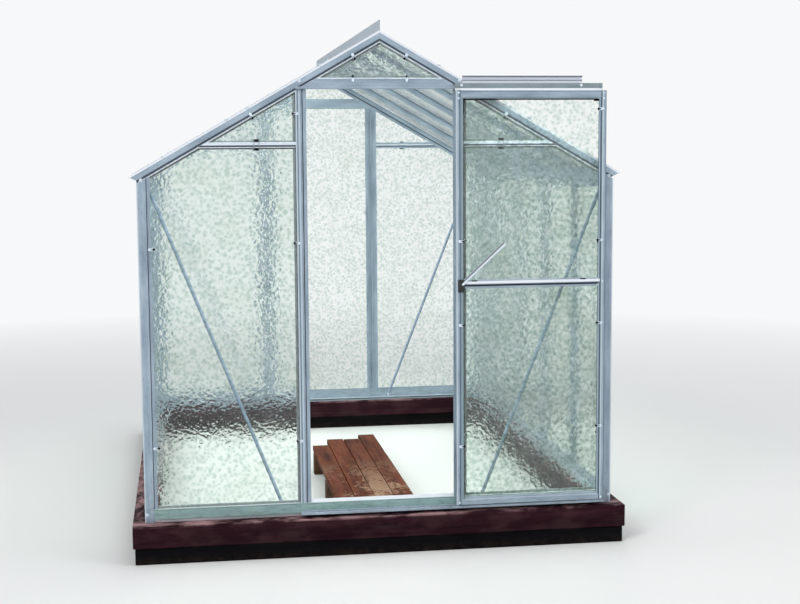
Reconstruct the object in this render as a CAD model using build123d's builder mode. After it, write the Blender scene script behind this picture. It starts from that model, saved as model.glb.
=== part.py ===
"""Glass greenhouse: aluminium frame, hammered glass, sliding door and timber plinth."""

import os
from math import atan2, cos, radians, sin

from build123d import *

# Frame: X to the right, Y from the front gable to the back, Z up. Origin on the ground in the centre.

# Main sizes, in millimetres
house_width = 1930.0
house_length = 2640.0
eave_height = 1373.0
ridge_height = 1943.0
eave_overhang = 31.0
side_bays = 5

# Timber plinth
plinth_height = 160.0
plinth_beam_height = 92.0
plinth_projection = 50.0
plinth_beam_width = 100.0
lower_course_setback = 8.0

# Aluminium sections
face_width = 37.0
skin = 2.0
web = 1.6
seat_depth = 8.0
seat_width = 12.0
sill_height = 44.0
sill_foot_height = 12.0
sill_bead = 2.0
sill_bead_height = 4.0
sill_flange = 30.0
sill_foot_setback = 9.0
sill_foot_width = 26.0

# Raised strips, beads and slots of the sections
strip_width = 15.0
strip_set = 2.6
bead_width = 3.0
bead_rise = 1.4
slot_width = 3.0
slot_depth = 2.6

# Glass
glass_thickness = 3.2
glass_gap = 1.0

# Front openings
jamb_inner_x = 296.0
jamb_face = 42.0
mullion_shift = 8.0
header_rise = 5.06
header_face = 41.0
header_bead = 2.0
header_bead_height = 5.0
side_rail_reach = 697.8
side_rail_face = 14.0
side_rail_lip = 10.0
jamb_spine = 20.0
jamb_slot_place = 15.0
jamb_bead_place = 21.5

# Glazing bars of the side walls and the roof
bar_seat = 26.0
bar_rib = 3.0
bar_spine = 20.0
bar_bulb = 6.0
roof_seat_level = 5.0
roof_seat_reach = 24.0
rafter_lip = 4.0
rafter_overrun = 60.0
roof_rib_rise = 3.0
roof_spine = 24.0

# Eave and ridge
eave_box_drop = 53.0
eave_seat_inset = 20.0
eave_seat_setback = 6.0
eave_cut_angle = 25.0
ridge_fin_rise = 41.0
ridge_wing = 45.0
ridge_lip = 12.0
ridge_spine = 62.0

# Diagonal braces
brace_width = 14.0
brace_thickness = 2.0
brace_top_inset = 3.0
brace_top_drop = 28.0
brace_foot_offset = 64.0
brace_foot_rise = 14.0

# Door
door_open_gap = 4.0
door_lap = 15.0
door_clearance = 5.5
door_depth = 21.0
door_bottom = 15.5
door_top_gap = 6.0
stile_face = 34.0
stile_box = 22.0
rail_face = 33.0
mid_rail_top = 945.0
mid_rail_face = 35.0
mid_rail_box = 15.0
mid_rail_box_drop = 6.0
top_rail_box = 30.0
top_rail_ledge = 3.0
top_rail_ledge_height = 5.0
lip_setback = 2.5
hanger_height = 29.5
hanger_thickness = 2.5
hanger_short = 12.0
roller_radius = 10.0
roller_width = 7.0
roller_groove = 2.0
roller_inset = 26.0
roller_far_inset = 102.0
roller_gap = 0.3
axle_diameter = 6.0
axle_play = 0.1
bolt_head_diameter = 12.0
bolt_head_height = 3.5
bolt_head_chamfer = 1.5
roller_spacer = 10.0

# Door track and bottom guide
track_overrun = 10.0
track_ledge = 13.0
track_upstand = 4.0
track_skin = 2.0
track_back = 10.0
track_plate_height = 53.0
track_hood = 10.0
track_rib_height = 35.0
track_rib = 3.0
guide_offset = 14.5
guide_upstand = 10.0
guide_skin = 1.5
glide_clearance = 5.0
glide_length = 50.0
glide_inset = 60.0
glide_width = 6.5

# Latch arm on the door
latch_length = 234.0
latch_width = 8.0
latch_thickness = 3.0
latch_flange = 7.0
latch_flange_thickness = 1.5
latch_angle = 42.7
latch_boss = 12.0
latch_pivot_inset = 27.0
latch_pivot_drop = 15.0
latch_block_width = 14.0
latch_block_height = 33.0
latch_block_depth = 4.5
latch_plate_width = 24.0
latch_plate_height = 51.0
latch_plate_thickness = 2.5
latch_plate_reach = 4.0
latch_plate_rise = 16.0
latch_pin = 4.0
latch_pin_length = 4.0
latch_play = 0.3

# Walkway
board_width = 85.0
board_gap = 2.5
board_thickness = 26.0
board_left = -155.0
board_clearance = 0.3
first_board_end = 1510.0
second_board_end = 1650.0
third_board_end = 1640.0
fourth_board_end = 1740.0
bearer_height = 104.0
bearer_width = 60.0
bearer_length = 352.0
first_bearer = 180.0
second_bearer = 800.0
third_bearer = 1400.0

# Values that follow from the sizes
base_z = plinth_height + sill_foot_height
front_y = -house_length / 2
back_y = house_length / 2
half = house_width / 2
seat_back = seat_depth + web
tip_x = half + eave_overhang
slope = (ridge_height - eave_height) / tip_x
pitch = atan2(ridge_height - eave_height, tip_x)
cos_p = cos(pitch)
sin_p = sin(pitch)
ridge_z = base_z + ridge_height
bay = house_length / side_bays
bar_lines = [front_y + bay * k for k in range(1, side_bays)]
jamb_outer_x = jamb_inner_x + jamb_face
post_inner = half - face_width
sill_top = base_z + sill_height
glass_front = seat_depth - glass_thickness
eave_bottom = base_z + eave_height - eave_box_drop
eave_seat_inner = half - eave_seat_inset
eave_seat_outer = tip_x - eave_seat_setback
mullion_x = jamb_inner_x + jamb_face / 2 - mullion_shift
board_ends = (first_board_end, second_board_end, third_board_end, fourth_board_end)
bearer_places = (first_bearer, second_bearer, third_bearer)


def roof_z(x, level=0.0):
    """Height of a line parallel to the roof, level millimetres outward from the outer line."""
    return ridge_z - slope * abs(x) + level / cos_p


def roof_plane(level=0.0):
    """Plane along the right slope: X runs down the slope, Z is the outward normal."""
    origin = (level * sin_p, 0, ridge_z + level * cos_p)
    return Plane(origin=origin, x_dir=(cos_p, 0, -sin_p), z_dir=(sin_p, 0, cos_p))


def slope_section(y0):
    """Section plane at the ridge: X runs along the house, Y is the outward roof normal."""
    return Plane(origin=(0, y0, ridge_z), x_dir=(0, 1, 0), z_dir=(cos_p, 0, -sin_p))


def save(part, name):
    part.label = name
    export_step(part, f"parts/{name}.step")


def block(x0, x1, y0, y1, z0, z1, mode=Mode.ADD):
    """Box between two corners, inside the current part."""
    with Locations(((x0 + x1) / 2, (y0 + y1) / 2, (z0 + z1) / 2)):
        Box(abs(x1 - x0), abs(y1 - y0), abs(z1 - z0), mode=mode)


def plate(u0, u1, v0, v1, mode=Mode.ADD):
    """Rectangle between two corners, inside the current sketch."""
    with Locations(((u0 + u1) / 2, (v0 + v1) / 2)):
        Rectangle(abs(u1 - u0), abs(v1 - v0), mode=mode)


os.makedirs("parts", exist_ok=True)

# Timber plinth: a stained beam on a recessed dark course
beam_low = plinth_height - plinth_beam_height
plinth_half = half + plinth_projection
plinth_end = back_y + plinth_projection
ring_x = plinth_half - plinth_beam_width
ring_y = plinth_end - plinth_beam_width

with BuildPart() as plinth_front:
    block(-plinth_half, plinth_half, -plinth_end, -ring_y, beam_low, plinth_height)
save(plinth_front.part, "plinth_front_beam")

with BuildPart() as plinth_back:
    block(-plinth_half, plinth_half, ring_y, plinth_end, beam_low, plinth_height)
save(plinth_back.part, "plinth_back_beam")

with BuildPart() as plinth_sides:
    block(ring_x, plinth_half, -ring_y, ring_y, beam_low, plinth_height)
    mirror(about=Plane.YZ)
save(plinth_sides.part, "plinth_side_beams")

low_half = plinth_half - lower_course_setback
low_end = plinth_end - lower_course_setback
low_x = ring_x + lower_course_setback
low_y = ring_y + lower_course_setback
with BuildPart() as course_ends:
    block(-low_half, low_half, -low_end, -low_y, 0, beam_low)
    block(-low_half, low_half, low_y, low_end, 0, beam_low)
save(course_ends.part, "lower_course_ends")

with BuildPart() as course_sides:
    block(-low_half, -low_x, -low_y, low_y, 0, beam_low)
    block(low_x, low_half, -low_y, low_y, 0, beam_low)
save(course_sides.part, "lower_course_sides")


# Sills: hollow face with a glazing seat above and a foot on the timber
def sill_sketch():
    """Sill section: X inward from the wall face, Y up from the bottom of the face."""
    plate(0, seat_back, 0, sill_height)
    plate(skin, seat_depth, web, sill_height - web, mode=Mode.SUBTRACT)
    plate(-sill_bead, 0, sill_height - sill_bead_height, sill_height)
    plate(seat_depth, seat_back, sill_height - web, sill_height + seat_width)
    plate(seat_depth, sill_flange, 0, web)
    foot = plinth_height - base_z
    plate(sill_foot_setback, sill_foot_setback + skin, foot, web)
    plate(sill_foot_setback, sill_foot_setback + sill_foot_width, foot, foot + web)


sill_plane = Plane(origin=(0, front_y, base_z), x_dir=(0, 1, 0), z_dir=(1, 0, 0))
with BuildPart() as sill_front:
    with BuildSketch(sill_plane):
        sill_sketch()
    extrude(amount=post_inner, both=True)
save(sill_front.part, "sill_front")

with BuildPart() as sill_back:
    add(mirror(sill_front.part, about=Plane.XZ))
save(sill_back.part, "sill_back")

side_sill_plane = Plane(origin=(half, 0, base_z), x_dir=(-1, 0, 0), z_dir=(0, 1, 0))
with BuildPart() as side_sills:
    with BuildSketch(side_sill_plane):
        sill_sketch()
    extrude(amount=house_length / 2 - face_width, both=True)
    mirror(about=Plane.YZ)
save(side_sills.part, "side_sills")

# Corner posts: hollow angle with a glazing seat on each leg, cut under the rafter
post_height = roof_z(post_inner) - plinth_height
with BuildPart() as corner_posts:
    with BuildSketch(Plane(origin=(half, front_y, plinth_height), x_dir=(-1, 0, 0), z_dir=(0, 0, 1))) as sk:
        with BuildLine():
            Polyline(
                (0, 0),
                (face_width, 0),
                (face_width, -seat_back),
                (seat_back, -seat_back),
                (seat_back, -face_width),
                (0, -face_width),
                close=True,
            )
        make_face()
        with BuildLine():
            Polyline(
                (skin, -skin),
                (face_width - web, -skin),
                (face_width - web, -seat_depth),
                (seat_depth, -seat_depth),
                (seat_depth, -face_width + web),
                (skin, -face_width + web),
                close=True,
            )
        make_face(mode=Mode.SUBTRACT)
        plate(face_width - web, face_width + seat_width, -seat_back, -seat_depth)
        plate(seat_depth, seat_back, -face_width + web, -face_width - seat_width)
        strip_end = face_width + strip_width
        bead_start = face_width + strip_width / 2 - bead_width / 2
        plate(face_width - web, strip_end, -strip_set - web, -strip_set)
        plate(bead_start, bead_start + bead_width, -strip_set, -strip_set + bead_rise)
        plate(strip_set, strip_set + web, -strip_end, -face_width + web)
        plate(strip_set - bead_rise, strip_set, -bead_start - bead_width, -bead_start)
    extrude(amount=post_height)
    split(bisect_by=roof_plane(-face_width), keep=Keep.BOTTOM)
    block(
        post_inner - strip_width - 1,
        post_inner,
        front_y,
        front_y + seat_depth,
        plinth_height - 1,
        sill_top,
        mode=Mode.SUBTRACT,
    )
    block(
        post_inner - seat_width - 1,
        post_inner,
        front_y + seat_depth,
        front_y + seat_back,
        plinth_height - 1,
        sill_top + seat_width,
        mode=Mode.SUBTRACT,
    )
    for bottom, top, seat_bottom_z, seat_top_z in (
        (plinth_height - 1, sill_top, plinth_height - 1, sill_top + seat_width),
        (eave_bottom, ridge_z, eave_bottom - seat_width, ridge_z),
    ):
        block(
            half - seat_depth,
            half,
            front_y + face_width,
            front_y + face_width + strip_width + 1,
            bottom,
            top,
            mode=Mode.SUBTRACT,
        )
        block(
            half - seat_back,
            half - seat_depth,
            front_y + face_width,
            front_y + face_width + seat_width + 1,
            seat_bottom_z,
            seat_top_z,
            mode=Mode.SUBTRACT,
        )
    mirror(about=Plane.YZ)
save(corner_posts.part, "front_corner_posts")
save(mirror(corner_posts.part, about=Plane.XZ), "back_corner_posts")

# Gable rafters: hollow face with a roof glass seat above and a gable glass seat below
rafter_reach = tip_x / cos_p + rafter_overrun
ridge_clear_x = ridge_wing * cos_p + 2
eave_cut = Plane(
    origin=(tip_x, 0, roof_z(tip_x)),
    x_dir=(0, 1, 0),
    z_dir=(sin(radians(eave_cut_angle)), 0, -cos(radians(eave_cut_angle))),
)
gable_seat_end = (post_inner - seat_width + face_width * sin_p) / cos_p
seat_bottom = -roof_seat_level - web
with BuildPart() as rafters:
    with BuildSketch(slope_section(front_y).offset(-rafter_overrun)):
        plate(0, seat_back, -face_width, 0)
        plate(skin, seat_depth, -face_width + web, seat_bottom, mode=Mode.SUBTRACT)
        plate(rafter_lip, seat_back, -roof_seat_level, 0, mode=Mode.SUBTRACT)
        plate(seat_back, roof_seat_reach, seat_bottom, -roof_seat_level)
    extrude(amount=rafter_reach + rafter_overrun)
    with BuildSketch(slope_section(front_y).offset(-rafter_overrun)):
        plate(seat_depth, seat_back, -face_width - seat_width, -face_width)
    extrude(amount=gable_seat_end + rafter_overrun)
    split(bisect_by=Plane.YZ, keep=Keep.TOP)
    split(bisect_by=eave_cut, keep=Keep.BOTTOM)
    block(
        0,
        ridge_clear_x,
        front_y + seat_back,
        front_y + roof_seat_reach,
        roof_z(ridge_clear_x, -face_width),
        ridge_z,
        mode=Mode.SUBTRACT,
    )
    mirror(about=Plane.XZ)
save(rafters.part, "gable_rafters_right")
save(mirror(rafters.part, about=Plane.YZ), "gable_rafters_left")

# Ridge bar: wings under the glass, lips over it, a fin above and a spine below
inside_y = house_length / 2 - seat_back
with BuildPart() as ridge:
    with BuildSketch(Plane.XZ.offset(-inside_y)):
        with BuildLine():
            wing_x = ridge_wing * cos_p
            Polyline(
                (0, roof_z(0, -roof_seat_level)),
                (wing_x, roof_z(wing_x, -roof_seat_level)),
                (wing_x, roof_z(wing_x, seat_bottom)),
                (0, roof_z(0, seat_bottom)),
                (-wing_x, roof_z(wing_x, seat_bottom)),
                (-wing_x, roof_z(wing_x, -roof_seat_level)),
                close=True,
            )
        make_face()
        with BuildLine():
            lip_x = ridge_lip * cos_p
            Polyline(
                (0, roof_z(0)),
                (lip_x, roof_z(lip_x)),
                (lip_x, roof_z(lip_x, -web)),
                (0, roof_z(0, -web)),
                (-lip_x, roof_z(lip_x, -web)),
                (-lip_x, roof_z(lip_x)),
                close=True,
            )
        make_face()
        plate(-bar_rib / 2, bar_rib / 2, ridge_z - ridge_spine, ridge_z)
        plate(-bar_bulb, bar_bulb, ridge_z - ridge_spine, ridge_z - ridge_spine + bar_rib)
    extrude(amount=2 * inside_y)
    block(-bar_rib / 2, bar_rib / 2, front_y, back_y, ridge_z, ridge_z + ridge_fin_rise)
save(ridge.part, "ridge_bar")

# Eave beams: hollow, between the corner posts, with a seat for the roof glass and one for the wall glass
beam_y = house_length / 2 - face_width
with BuildPart() as eave:
    with BuildSketch(Plane.XZ.offset(-beam_y)):
        with BuildLine():
            Polyline(
                (half, eave_bottom),
                (half, roof_z(half, seat_bottom)),
                (half - seat_back, roof_z(half - seat_back, seat_bottom)),
                (half - seat_back, eave_bottom),
                close=True,
            )
        make_face()
        plate(
            half - seat_depth,
            half - skin,
            eave_bottom + web,
            roof_z(half - skin, seat_bottom) - web,
            mode=Mode.SUBTRACT,
        )
        plate(half - seat_back, half - seat_depth, eave_bottom - seat_width, eave_bottom)
        with BuildLine():
            Polyline(
                (eave_seat_inner, roof_z(eave_seat_inner, -roof_seat_level)),
                (eave_seat_outer, roof_z(eave_seat_outer, -roof_seat_level)),
                (eave_seat_outer, roof_z(eave_seat_outer, seat_bottom)),
                (eave_seat_inner, roof_z(eave_seat_inner, seat_bottom)),
                close=True,
            )
        make_face()
    extrude(amount=2 * beam_y)
save(eave.part, "eave_beam_right")
save(mirror(eave.part, about=Plane.YZ), "eave_beam_left")

# Headers: a hollow bar between the two rafters at each gable, where the jambs' outer edges meet them
header_low = roof_z(jamb_outer_x, -face_width) + header_rise
header_high = header_low + header_face


def trim_to_rafter():
    """Cut the current part under the right rafter, and its back under the rafter's glass seat."""
    split(bisect_by=roof_plane(-face_width), keep=Keep.BOTTOM)
    with Locations(roof_plane()):
        block(
            0,
            2 * tip_x,
            front_y + seat_depth,
            front_y + 2 * roof_seat_reach,
            -face_width - seat_width,
            0,
            mode=Mode.SUBTRACT,
        )


with BuildPart() as header:
    with BuildSketch(Plane(origin=(0, front_y, header_low), x_dir=(0, 1, 0), z_dir=(1, 0, 0))):
        plate(0, seat_back, 0, header_face)
        plate(skin, seat_depth, web, header_face - web, mode=Mode.SUBTRACT)
        plate(seat_depth, seat_back, header_face - web, header_face + seat_width)
        plate(-header_bead, 0, header_face - header_bead_height, header_face)
    extrude(amount=half)
    trim_to_rafter()
    mirror(about=Plane.YZ)
save(header.part, "front_header")
save(mirror(header.part, about=Plane.XZ), "back_header")


# Uprights of the gables: hollow face, glazing seats and a spine inside
def gable_upright(inner_x, inner_seat):
    with BuildPart() as upright:
        outer_x = inner_x + jamb_face
        with BuildSketch(Plane.XY.offset(sill_top)):
            plate(inner_x, outer_x, front_y, front_y + seat_back)
            plate(
                inner_x + web,
                outer_x - web,
                front_y + skin,
                front_y + seat_depth,
                mode=Mode.SUBTRACT,
            )
            plate(
                inner_x - inner_seat,
                outer_x + seat_width,
                front_y + seat_depth,
                front_y + seat_back,
            )
            slot_x = inner_x + jamb_slot_place
            slot_end = front_y + slot_depth
            plate(slot_x - slot_width / 2 - web, slot_x + slot_width / 2 + web, front_y, slot_end + web)
            plate(slot_x - slot_width / 2, slot_x + slot_width / 2, front_y, slot_end, mode=Mode.SUBTRACT)
            bead_x = inner_x + jamb_bead_place
            plate(bead_x - bead_width / 2, bead_x + bead_width / 2, front_y - bead_rise, front_y)
            middle_x = inner_x + jamb_face / 2
            spine_end = front_y + seat_back + jamb_spine
            plate(middle_x - web / 2, middle_x + web / 2, front_y + seat_back, spine_end)
            plate(
                middle_x - bar_bulb / 2,
                middle_x + bar_bulb / 2,
                spine_end - bar_rib,
                spine_end,
            )
        extrude(amount=header_low - sill_top)
        block(
            inner_x - 2 * seat_width,
            outer_x + 2 * seat_width,
            front_y + seat_depth,
            front_y + seat_back,
            sill_top,
            sill_top + seat_width,
            mode=Mode.SUBTRACT,
        )
        trim_to_rafter()
    return upright.part


right_jamb = gable_upright(jamb_inner_x, 0)
save(right_jamb, "door_jamb_right")
save(mirror(right_jamb, about=Plane.YZ), "door_jamb_left")

mullion_inner = mullion_x - jamb_face / 2
mullion_outer = mullion_x + jamb_face / 2
with BuildPart() as mullions:
    add(mirror(gable_upright(mullion_inner, seat_width), about=Plane.XZ))
    mirror(about=Plane.YZ)
save(mullions.part, "back_mullions")


# Rails beside the uprights, from the upright to the rafter
rail_top = roof_z(side_rail_reach, -face_width)
rail_bottom = rail_top - side_rail_face


def gable_side_rail(start_x):
    with BuildPart() as rail:
        with BuildSketch(Plane(origin=(start_x, front_y, 0), x_dir=(0, 1, 0), z_dir=(1, 0, 0))):
            plate(0, seat_back, rail_bottom, rail_top)
            plate(skin, seat_depth, rail_bottom + web, rail_top - web, mode=Mode.SUBTRACT)
            plate(seat_depth, seat_back, rail_bottom - side_rail_lip, rail_top + side_rail_lip)
        extrude(amount=half - start_x)
        block(
            start_x,
            start_x + seat_width,
            front_y + seat_depth,
            front_y + seat_back,
            rail_bottom - side_rail_lip,
            rail_top + side_rail_lip,
            mode=Mode.SUBTRACT,
        )
        trim_to_rafter()
    return rail.part


front_rail = gable_side_rail(jamb_outer_x)
back_rail = mirror(gable_side_rail(mullion_outer), about=Plane.XZ)
with BuildPart() as front_rails:
    add(front_rail)
    mirror(about=Plane.YZ)
save(front_rails.part, "front_side_rails")
with BuildPart() as back_rails:
    add(back_rail)
    mirror(about=Plane.YZ)
save(back_rails.part, "back_side_rails")

# Diagonal braces behind the glass of each gable's side panels
brace_top_x = post_inner - brace_top_inset
brace_top_z = eave_height - brace_top_drop
brace_foot_x = jamb_outer_x + brace_foot_offset
brace_foot_z = brace_foot_rise
brace_run = brace_top_x - brace_foot_x
brace_rise = brace_top_z - brace_foot_z
with BuildPart() as braces:
    with BuildSketch(
        Plane(
            origin=(
                (brace_top_x + brace_foot_x) / 2,
                front_y + seat_back,
                base_z + (brace_top_z + brace_foot_z) / 2,
            ),
            x_dir=(brace_run, 0, brace_rise),
            z_dir=(0, 1, 0),
        )
    ):
        SlotCenterToCenter((brace_run**2 + brace_rise**2) ** 0.5, brace_width)
    extrude(amount=brace_thickness)
    mirror(about=Plane.YZ)
    mirror(about=Plane.XZ)
save(braces.part, "gable_braces")

# Glazing bars of the side walls
wall_seat_low = sill_top + seat_width
wall_seat_high = eave_bottom - seat_width
with BuildPart() as wall_bars:
    for line in bar_lines:
        block(
            half - seat_back,
            half - seat_depth,
            line - bar_seat / 2,
            line + bar_seat / 2,
            wall_seat_low,
            wall_seat_high,
        )
        block(half - seat_depth, half, line - bar_rib / 2, line + bar_rib / 2, sill_top, eave_bottom)
        block(
            half - seat_back - bar_spine,
            half - seat_back,
            line - web / 2,
            line + web / 2,
            sill_top,
            eave_bottom,
        )
        block(
            half - seat_back - bar_spine,
            half - seat_back - bar_spine + bar_rib,
            line - bar_bulb / 2,
            line + bar_bulb / 2,
            base_z + web,
            eave_bottom,
        )
save(wall_bars.part, "wall_bars_right")
save(mirror(wall_bars.part, about=Plane.YZ), "wall_bars_left")

# Glazing bars of the roof, in the frame of the right slope
roof_tip = tip_x / cos_p
roof_seat_end = eave_seat_inner / cos_p
roof_seat_start = ridge_wing - seat_bottom * sin_p / cos_p + glass_gap / 2
spine_start = (bar_bulb + (roof_spine - seat_bottom) * sin_p) / cos_p + glass_gap
with BuildPart() as roof_bars:
    with Locations(roof_plane()):
        for line in bar_lines:
            block(
                roof_seat_start,
                roof_seat_end,
                line - bar_seat / 2,
                line + bar_seat / 2,
                seat_bottom,
                -roof_seat_level,
            )
            block(
                ridge_lip + glass_gap,
                roof_tip,
                line - bar_rib / 2,
                line + bar_rib / 2,
                -roof_seat_level,
                roof_rib_rise,
            )
            block(
                spine_start,
                roof_seat_end,
                line - web / 2,
                line + web / 2,
                seat_bottom - roof_spine,
                seat_bottom,
            )
            block(
                spine_start,
                roof_seat_end,
                line - bar_bulb / 2,
                line + bar_bulb / 2,
                seat_bottom - roof_spine,
                seat_bottom - roof_spine + bar_rib,
            )
save(roof_bars.part, "roof_bars_right")
save(mirror(roof_bars.part, about=Plane.YZ), "roof_bars_left")

# Glass of the side walls and the roof: one pane in each bay
pane_gap = bar_rib / 2 + glass_gap
with BuildPart() as wall_glass:
    starts = [front_y + face_width + glass_gap] + [line + pane_gap for line in bar_lines]
    ends = [line - pane_gap for line in bar_lines] + [back_y - face_width - glass_gap]
    for start, end in zip(starts, ends):
        block(
            half - seat_depth,
            half - glass_front,
            start,
            end,
            sill_top + glass_gap,
            eave_bottom - glass_gap,
        )
save(wall_glass.part, "wall_glass_right")
save(mirror(wall_glass.part, about=Plane.YZ), "wall_glass_left")

roof_glass_edge = rafter_lip + glass_gap
roof_glass_start = (bar_rib / 2 + roof_seat_level * sin_p) / cos_p + glass_gap
with BuildPart() as roof_glass:
    starts = [front_y + roof_glass_edge] + [line + pane_gap for line in bar_lines]
    ends = [line - pane_gap for line in bar_lines] + [back_y - roof_glass_edge]
    with Locations(roof_plane()):
        for start, end in zip(starts, ends):
            block(
                roof_glass_start,
                roof_tip - glass_gap,
                start,
                end,
                -roof_seat_level,
                -roof_seat_level + glass_thickness,
            )
save(roof_glass.part, "roof_glass_right")
save(mirror(roof_glass.part, about=Plane.YZ), "roof_glass_left")

# Glass of the gables
pane_back = front_y + seat_depth
pane_level = -face_width - glass_gap
rail_low = rail_bottom - glass_gap
rail_high = rail_top + glass_gap


def under_rafter_x(z):
    """Distance from the centre at which the glass edge under the rafter has this height."""
    return (roof_z(0, pane_level) - z) / slope


def gable_pane(*outline):
    with BuildPart() as pane:
        with BuildSketch(Plane(origin=(0, pane_back, 0), x_dir=(1, 0, 0), z_dir=(0, -1, 0))):
            with BuildLine():
                Polyline(*outline, close=True)
            make_face()
        extrude(amount=glass_thickness)
    return pane.part


def side_panes(upright_x):
    """Lower and upper pane beside a gable upright, on the right."""
    inner = upright_x + glass_gap
    outer = post_inner - glass_gap
    lower = gable_pane(
        (inner, sill_top + glass_gap),
        (outer, sill_top + glass_gap),
        (outer, roof_z(outer, pane_level)),
        (under_rafter_x(rail_low), rail_low),
        (inner, rail_low),
    )
    upper = gable_pane(
        (inner, rail_high),
        (under_rafter_x(rail_high), rail_high),
        (inner, roof_z(inner, pane_level)),
    )
    return lower, upper


apex_pane = gable_pane(
    (-under_rafter_x(header_high + glass_gap), header_high + glass_gap),
    (under_rafter_x(header_high + glass_gap), header_high + glass_gap),
    (0, roof_z(0, pane_level)),
)
front_panes = side_panes(jamb_outer_x)
with BuildPart() as front_glass_right:
    add(front_panes)
save(front_glass_right.part, "front_glass_right")
save(mirror(front_glass_right.part, about=Plane.YZ), "front_glass_left")
save(apex_pane, "front_apex_glass")

back_panes = side_panes(mullion_outer)
with BuildPart() as back_sides:
    add(back_panes)
    mirror(about=Plane.YZ)
save(mirror(back_sides.part, about=Plane.XZ), "back_side_glass")

middle_edge = mullion_inner - glass_gap
middle_pane = gable_pane(
    (-middle_edge, sill_top + glass_gap),
    (middle_edge, sill_top + glass_gap),
    (middle_edge, header_low - glass_gap),
    (-middle_edge, header_low - glass_gap),
)
with BuildPart() as back_middle:
    add(middle_pane)
    add(apex_pane)
save(mirror(back_middle.part, about=Plane.XZ), "back_middle_glass")

# Places of the door, its rollers and the track end
door_left = jamb_inner_x + door_open_gap
door_width = 2 * (jamb_inner_x + door_lap)
door_right = door_left + door_width
door_back = front_y - track_ledge - door_clearance
door_face = door_back - door_depth
door_low = base_z + door_bottom
door_high = header_low - door_top_gap
roller_places = (door_left + roller_inset, door_right - roller_far_inset)
track_end = roller_places[1] + track_overrun
guide_reach = front_y - door_back + guide_offset

# Door track along the header, running on past the right rafter, with a grooved back plate and a hood
track_low = header_low
track_tall_start = jamb_inner_x + face_width
track_top = track_low + track_plate_height
track_rib_low = track_low + track_rib_height
with BuildPart() as track:
    track_plane = Plane(origin=(-jamb_outer_x, front_y, 0), x_dir=(0, 1, 0), z_dir=(1, 0, 0))
    with BuildSketch(track_plane):
        plate(-track_ledge, 0, track_low, track_low + track_skin)
        plate(-track_ledge, -track_ledge + track_skin, track_low, track_low + track_skin + track_upstand)
        plate(-track_skin, 0, track_low, track_low + track_back)
    extrude(amount=jamb_outer_x + track_end)
    with BuildSketch(track_plane.offset(jamb_outer_x + track_tall_start)):
        plate(-track_skin, 0, track_low, track_top)
        plate(-track_hood, 0, track_top - track_skin, track_top)
        plate(-track_skin - track_rib, 0, track_rib_low, track_rib_low + track_skin)
    extrude(amount=track_end - track_tall_start)
save(track.part, "door_track")

# Bottom guide: an angle on the sill that keeps the foot of the door in line
with BuildPart() as guide:
    with BuildSketch(Plane(origin=(-jamb_outer_x, front_y, base_z), x_dir=(0, 1, 0), z_dir=(1, 0, 0))):
        plate(-guide_reach, 0, 0, guide_skin)
        plate(-guide_reach, -guide_reach + guide_skin, 0, guide_upstand)
        plate(-guide_skin, 0, 0, guide_upstand)
    extrude(amount=jamb_outer_x + post_inner)
save(guide.part, "bottom_guide")

# Sliding door, drawn open in front of the right panel
door_centre = Plane(origin=(door_left + door_width / 2, 0, 0), x_dir=(0, 1, 0), z_dir=(1, 0, 0))
lip_front = door_face + lip_setback
lip_back = lip_front + web
stile_inner = door_left + stile_box
lip_inner = door_left + stile_face

with BuildPart() as stile:
    with BuildSketch(Plane.XY.offset(door_low)):
        plate(door_left, stile_inner, door_face, door_back)
        plate(door_left + web, stile_inner - web, door_face + web, door_back - web, mode=Mode.SUBTRACT)
        plate(stile_inner - web, lip_inner, lip_front, lip_back)
    extrude(amount=door_high - door_low)
left_stile = stile.part
save(mirror(left_stile, about=door_centre), "door_stile_right")
save(left_stile, "door_stile_left")


def door_rail(box_low, box_high, lip_low, lip_high, ledge=0):
    """Hollow rail between the stiles, with a set-back lip over the glass, and perhaps a ledge on top."""
    with BuildPart() as rail:
        with BuildSketch(Plane(origin=(stile_inner, 0, 0), x_dir=(0, 1, 0), z_dir=(1, 0, 0))):
            plate(door_face, door_back, box_low, box_high)
            plate(door_face + web, door_back - web, box_low + web, box_high - web, mode=Mode.SUBTRACT)
            plate(lip_front, lip_back, lip_low, lip_high)
            if ledge:
                plate(door_face - ledge, door_face, box_high - top_rail_ledge_height, box_high)
        extrude(amount=door_width - 2 * stile_box)
        for near, far in ((stile_inner, lip_inner), (door_right - stile_face, door_right - stile_box)):
            block(near, far, lip_front, lip_back, lip_low, lip_high, mode=Mode.SUBTRACT)
    return rail.part


box_height = stile_box
top_box_low = door_high - top_rail_box
top_lip_low = door_high - rail_face
save(door_rail(top_box_low, door_high, top_lip_low, door_high, top_rail_ledge), "door_top_rail")
save(door_rail(door_low, door_low + box_height, door_low, door_low + rail_face), "door_bottom_rail")
mid_top = base_z + mid_rail_top
mid_low = mid_top - mid_rail_face
mid_box_high = mid_top - mid_rail_box_drop
mid_box_low = mid_box_high - mid_rail_box
save(door_rail(mid_box_low, mid_box_high, mid_low, mid_top), "door_mid_rail")

with BuildPart() as door_glass:
    glass_x0 = stile_inner + glass_gap
    glass_x1 = door_right - stile_box - glass_gap
    block(
        glass_x0,
        glass_x1,
        lip_back,
        lip_back + glass_thickness,
        mid_box_high + glass_gap,
        top_box_low - glass_gap,
    )
    block(
        glass_x0,
        glass_x1,
        lip_back,
        lip_back + glass_thickness,
        door_low + box_height + glass_gap,
        mid_box_low - glass_gap,
    )
save(door_glass.part, "door_glass")

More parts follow.
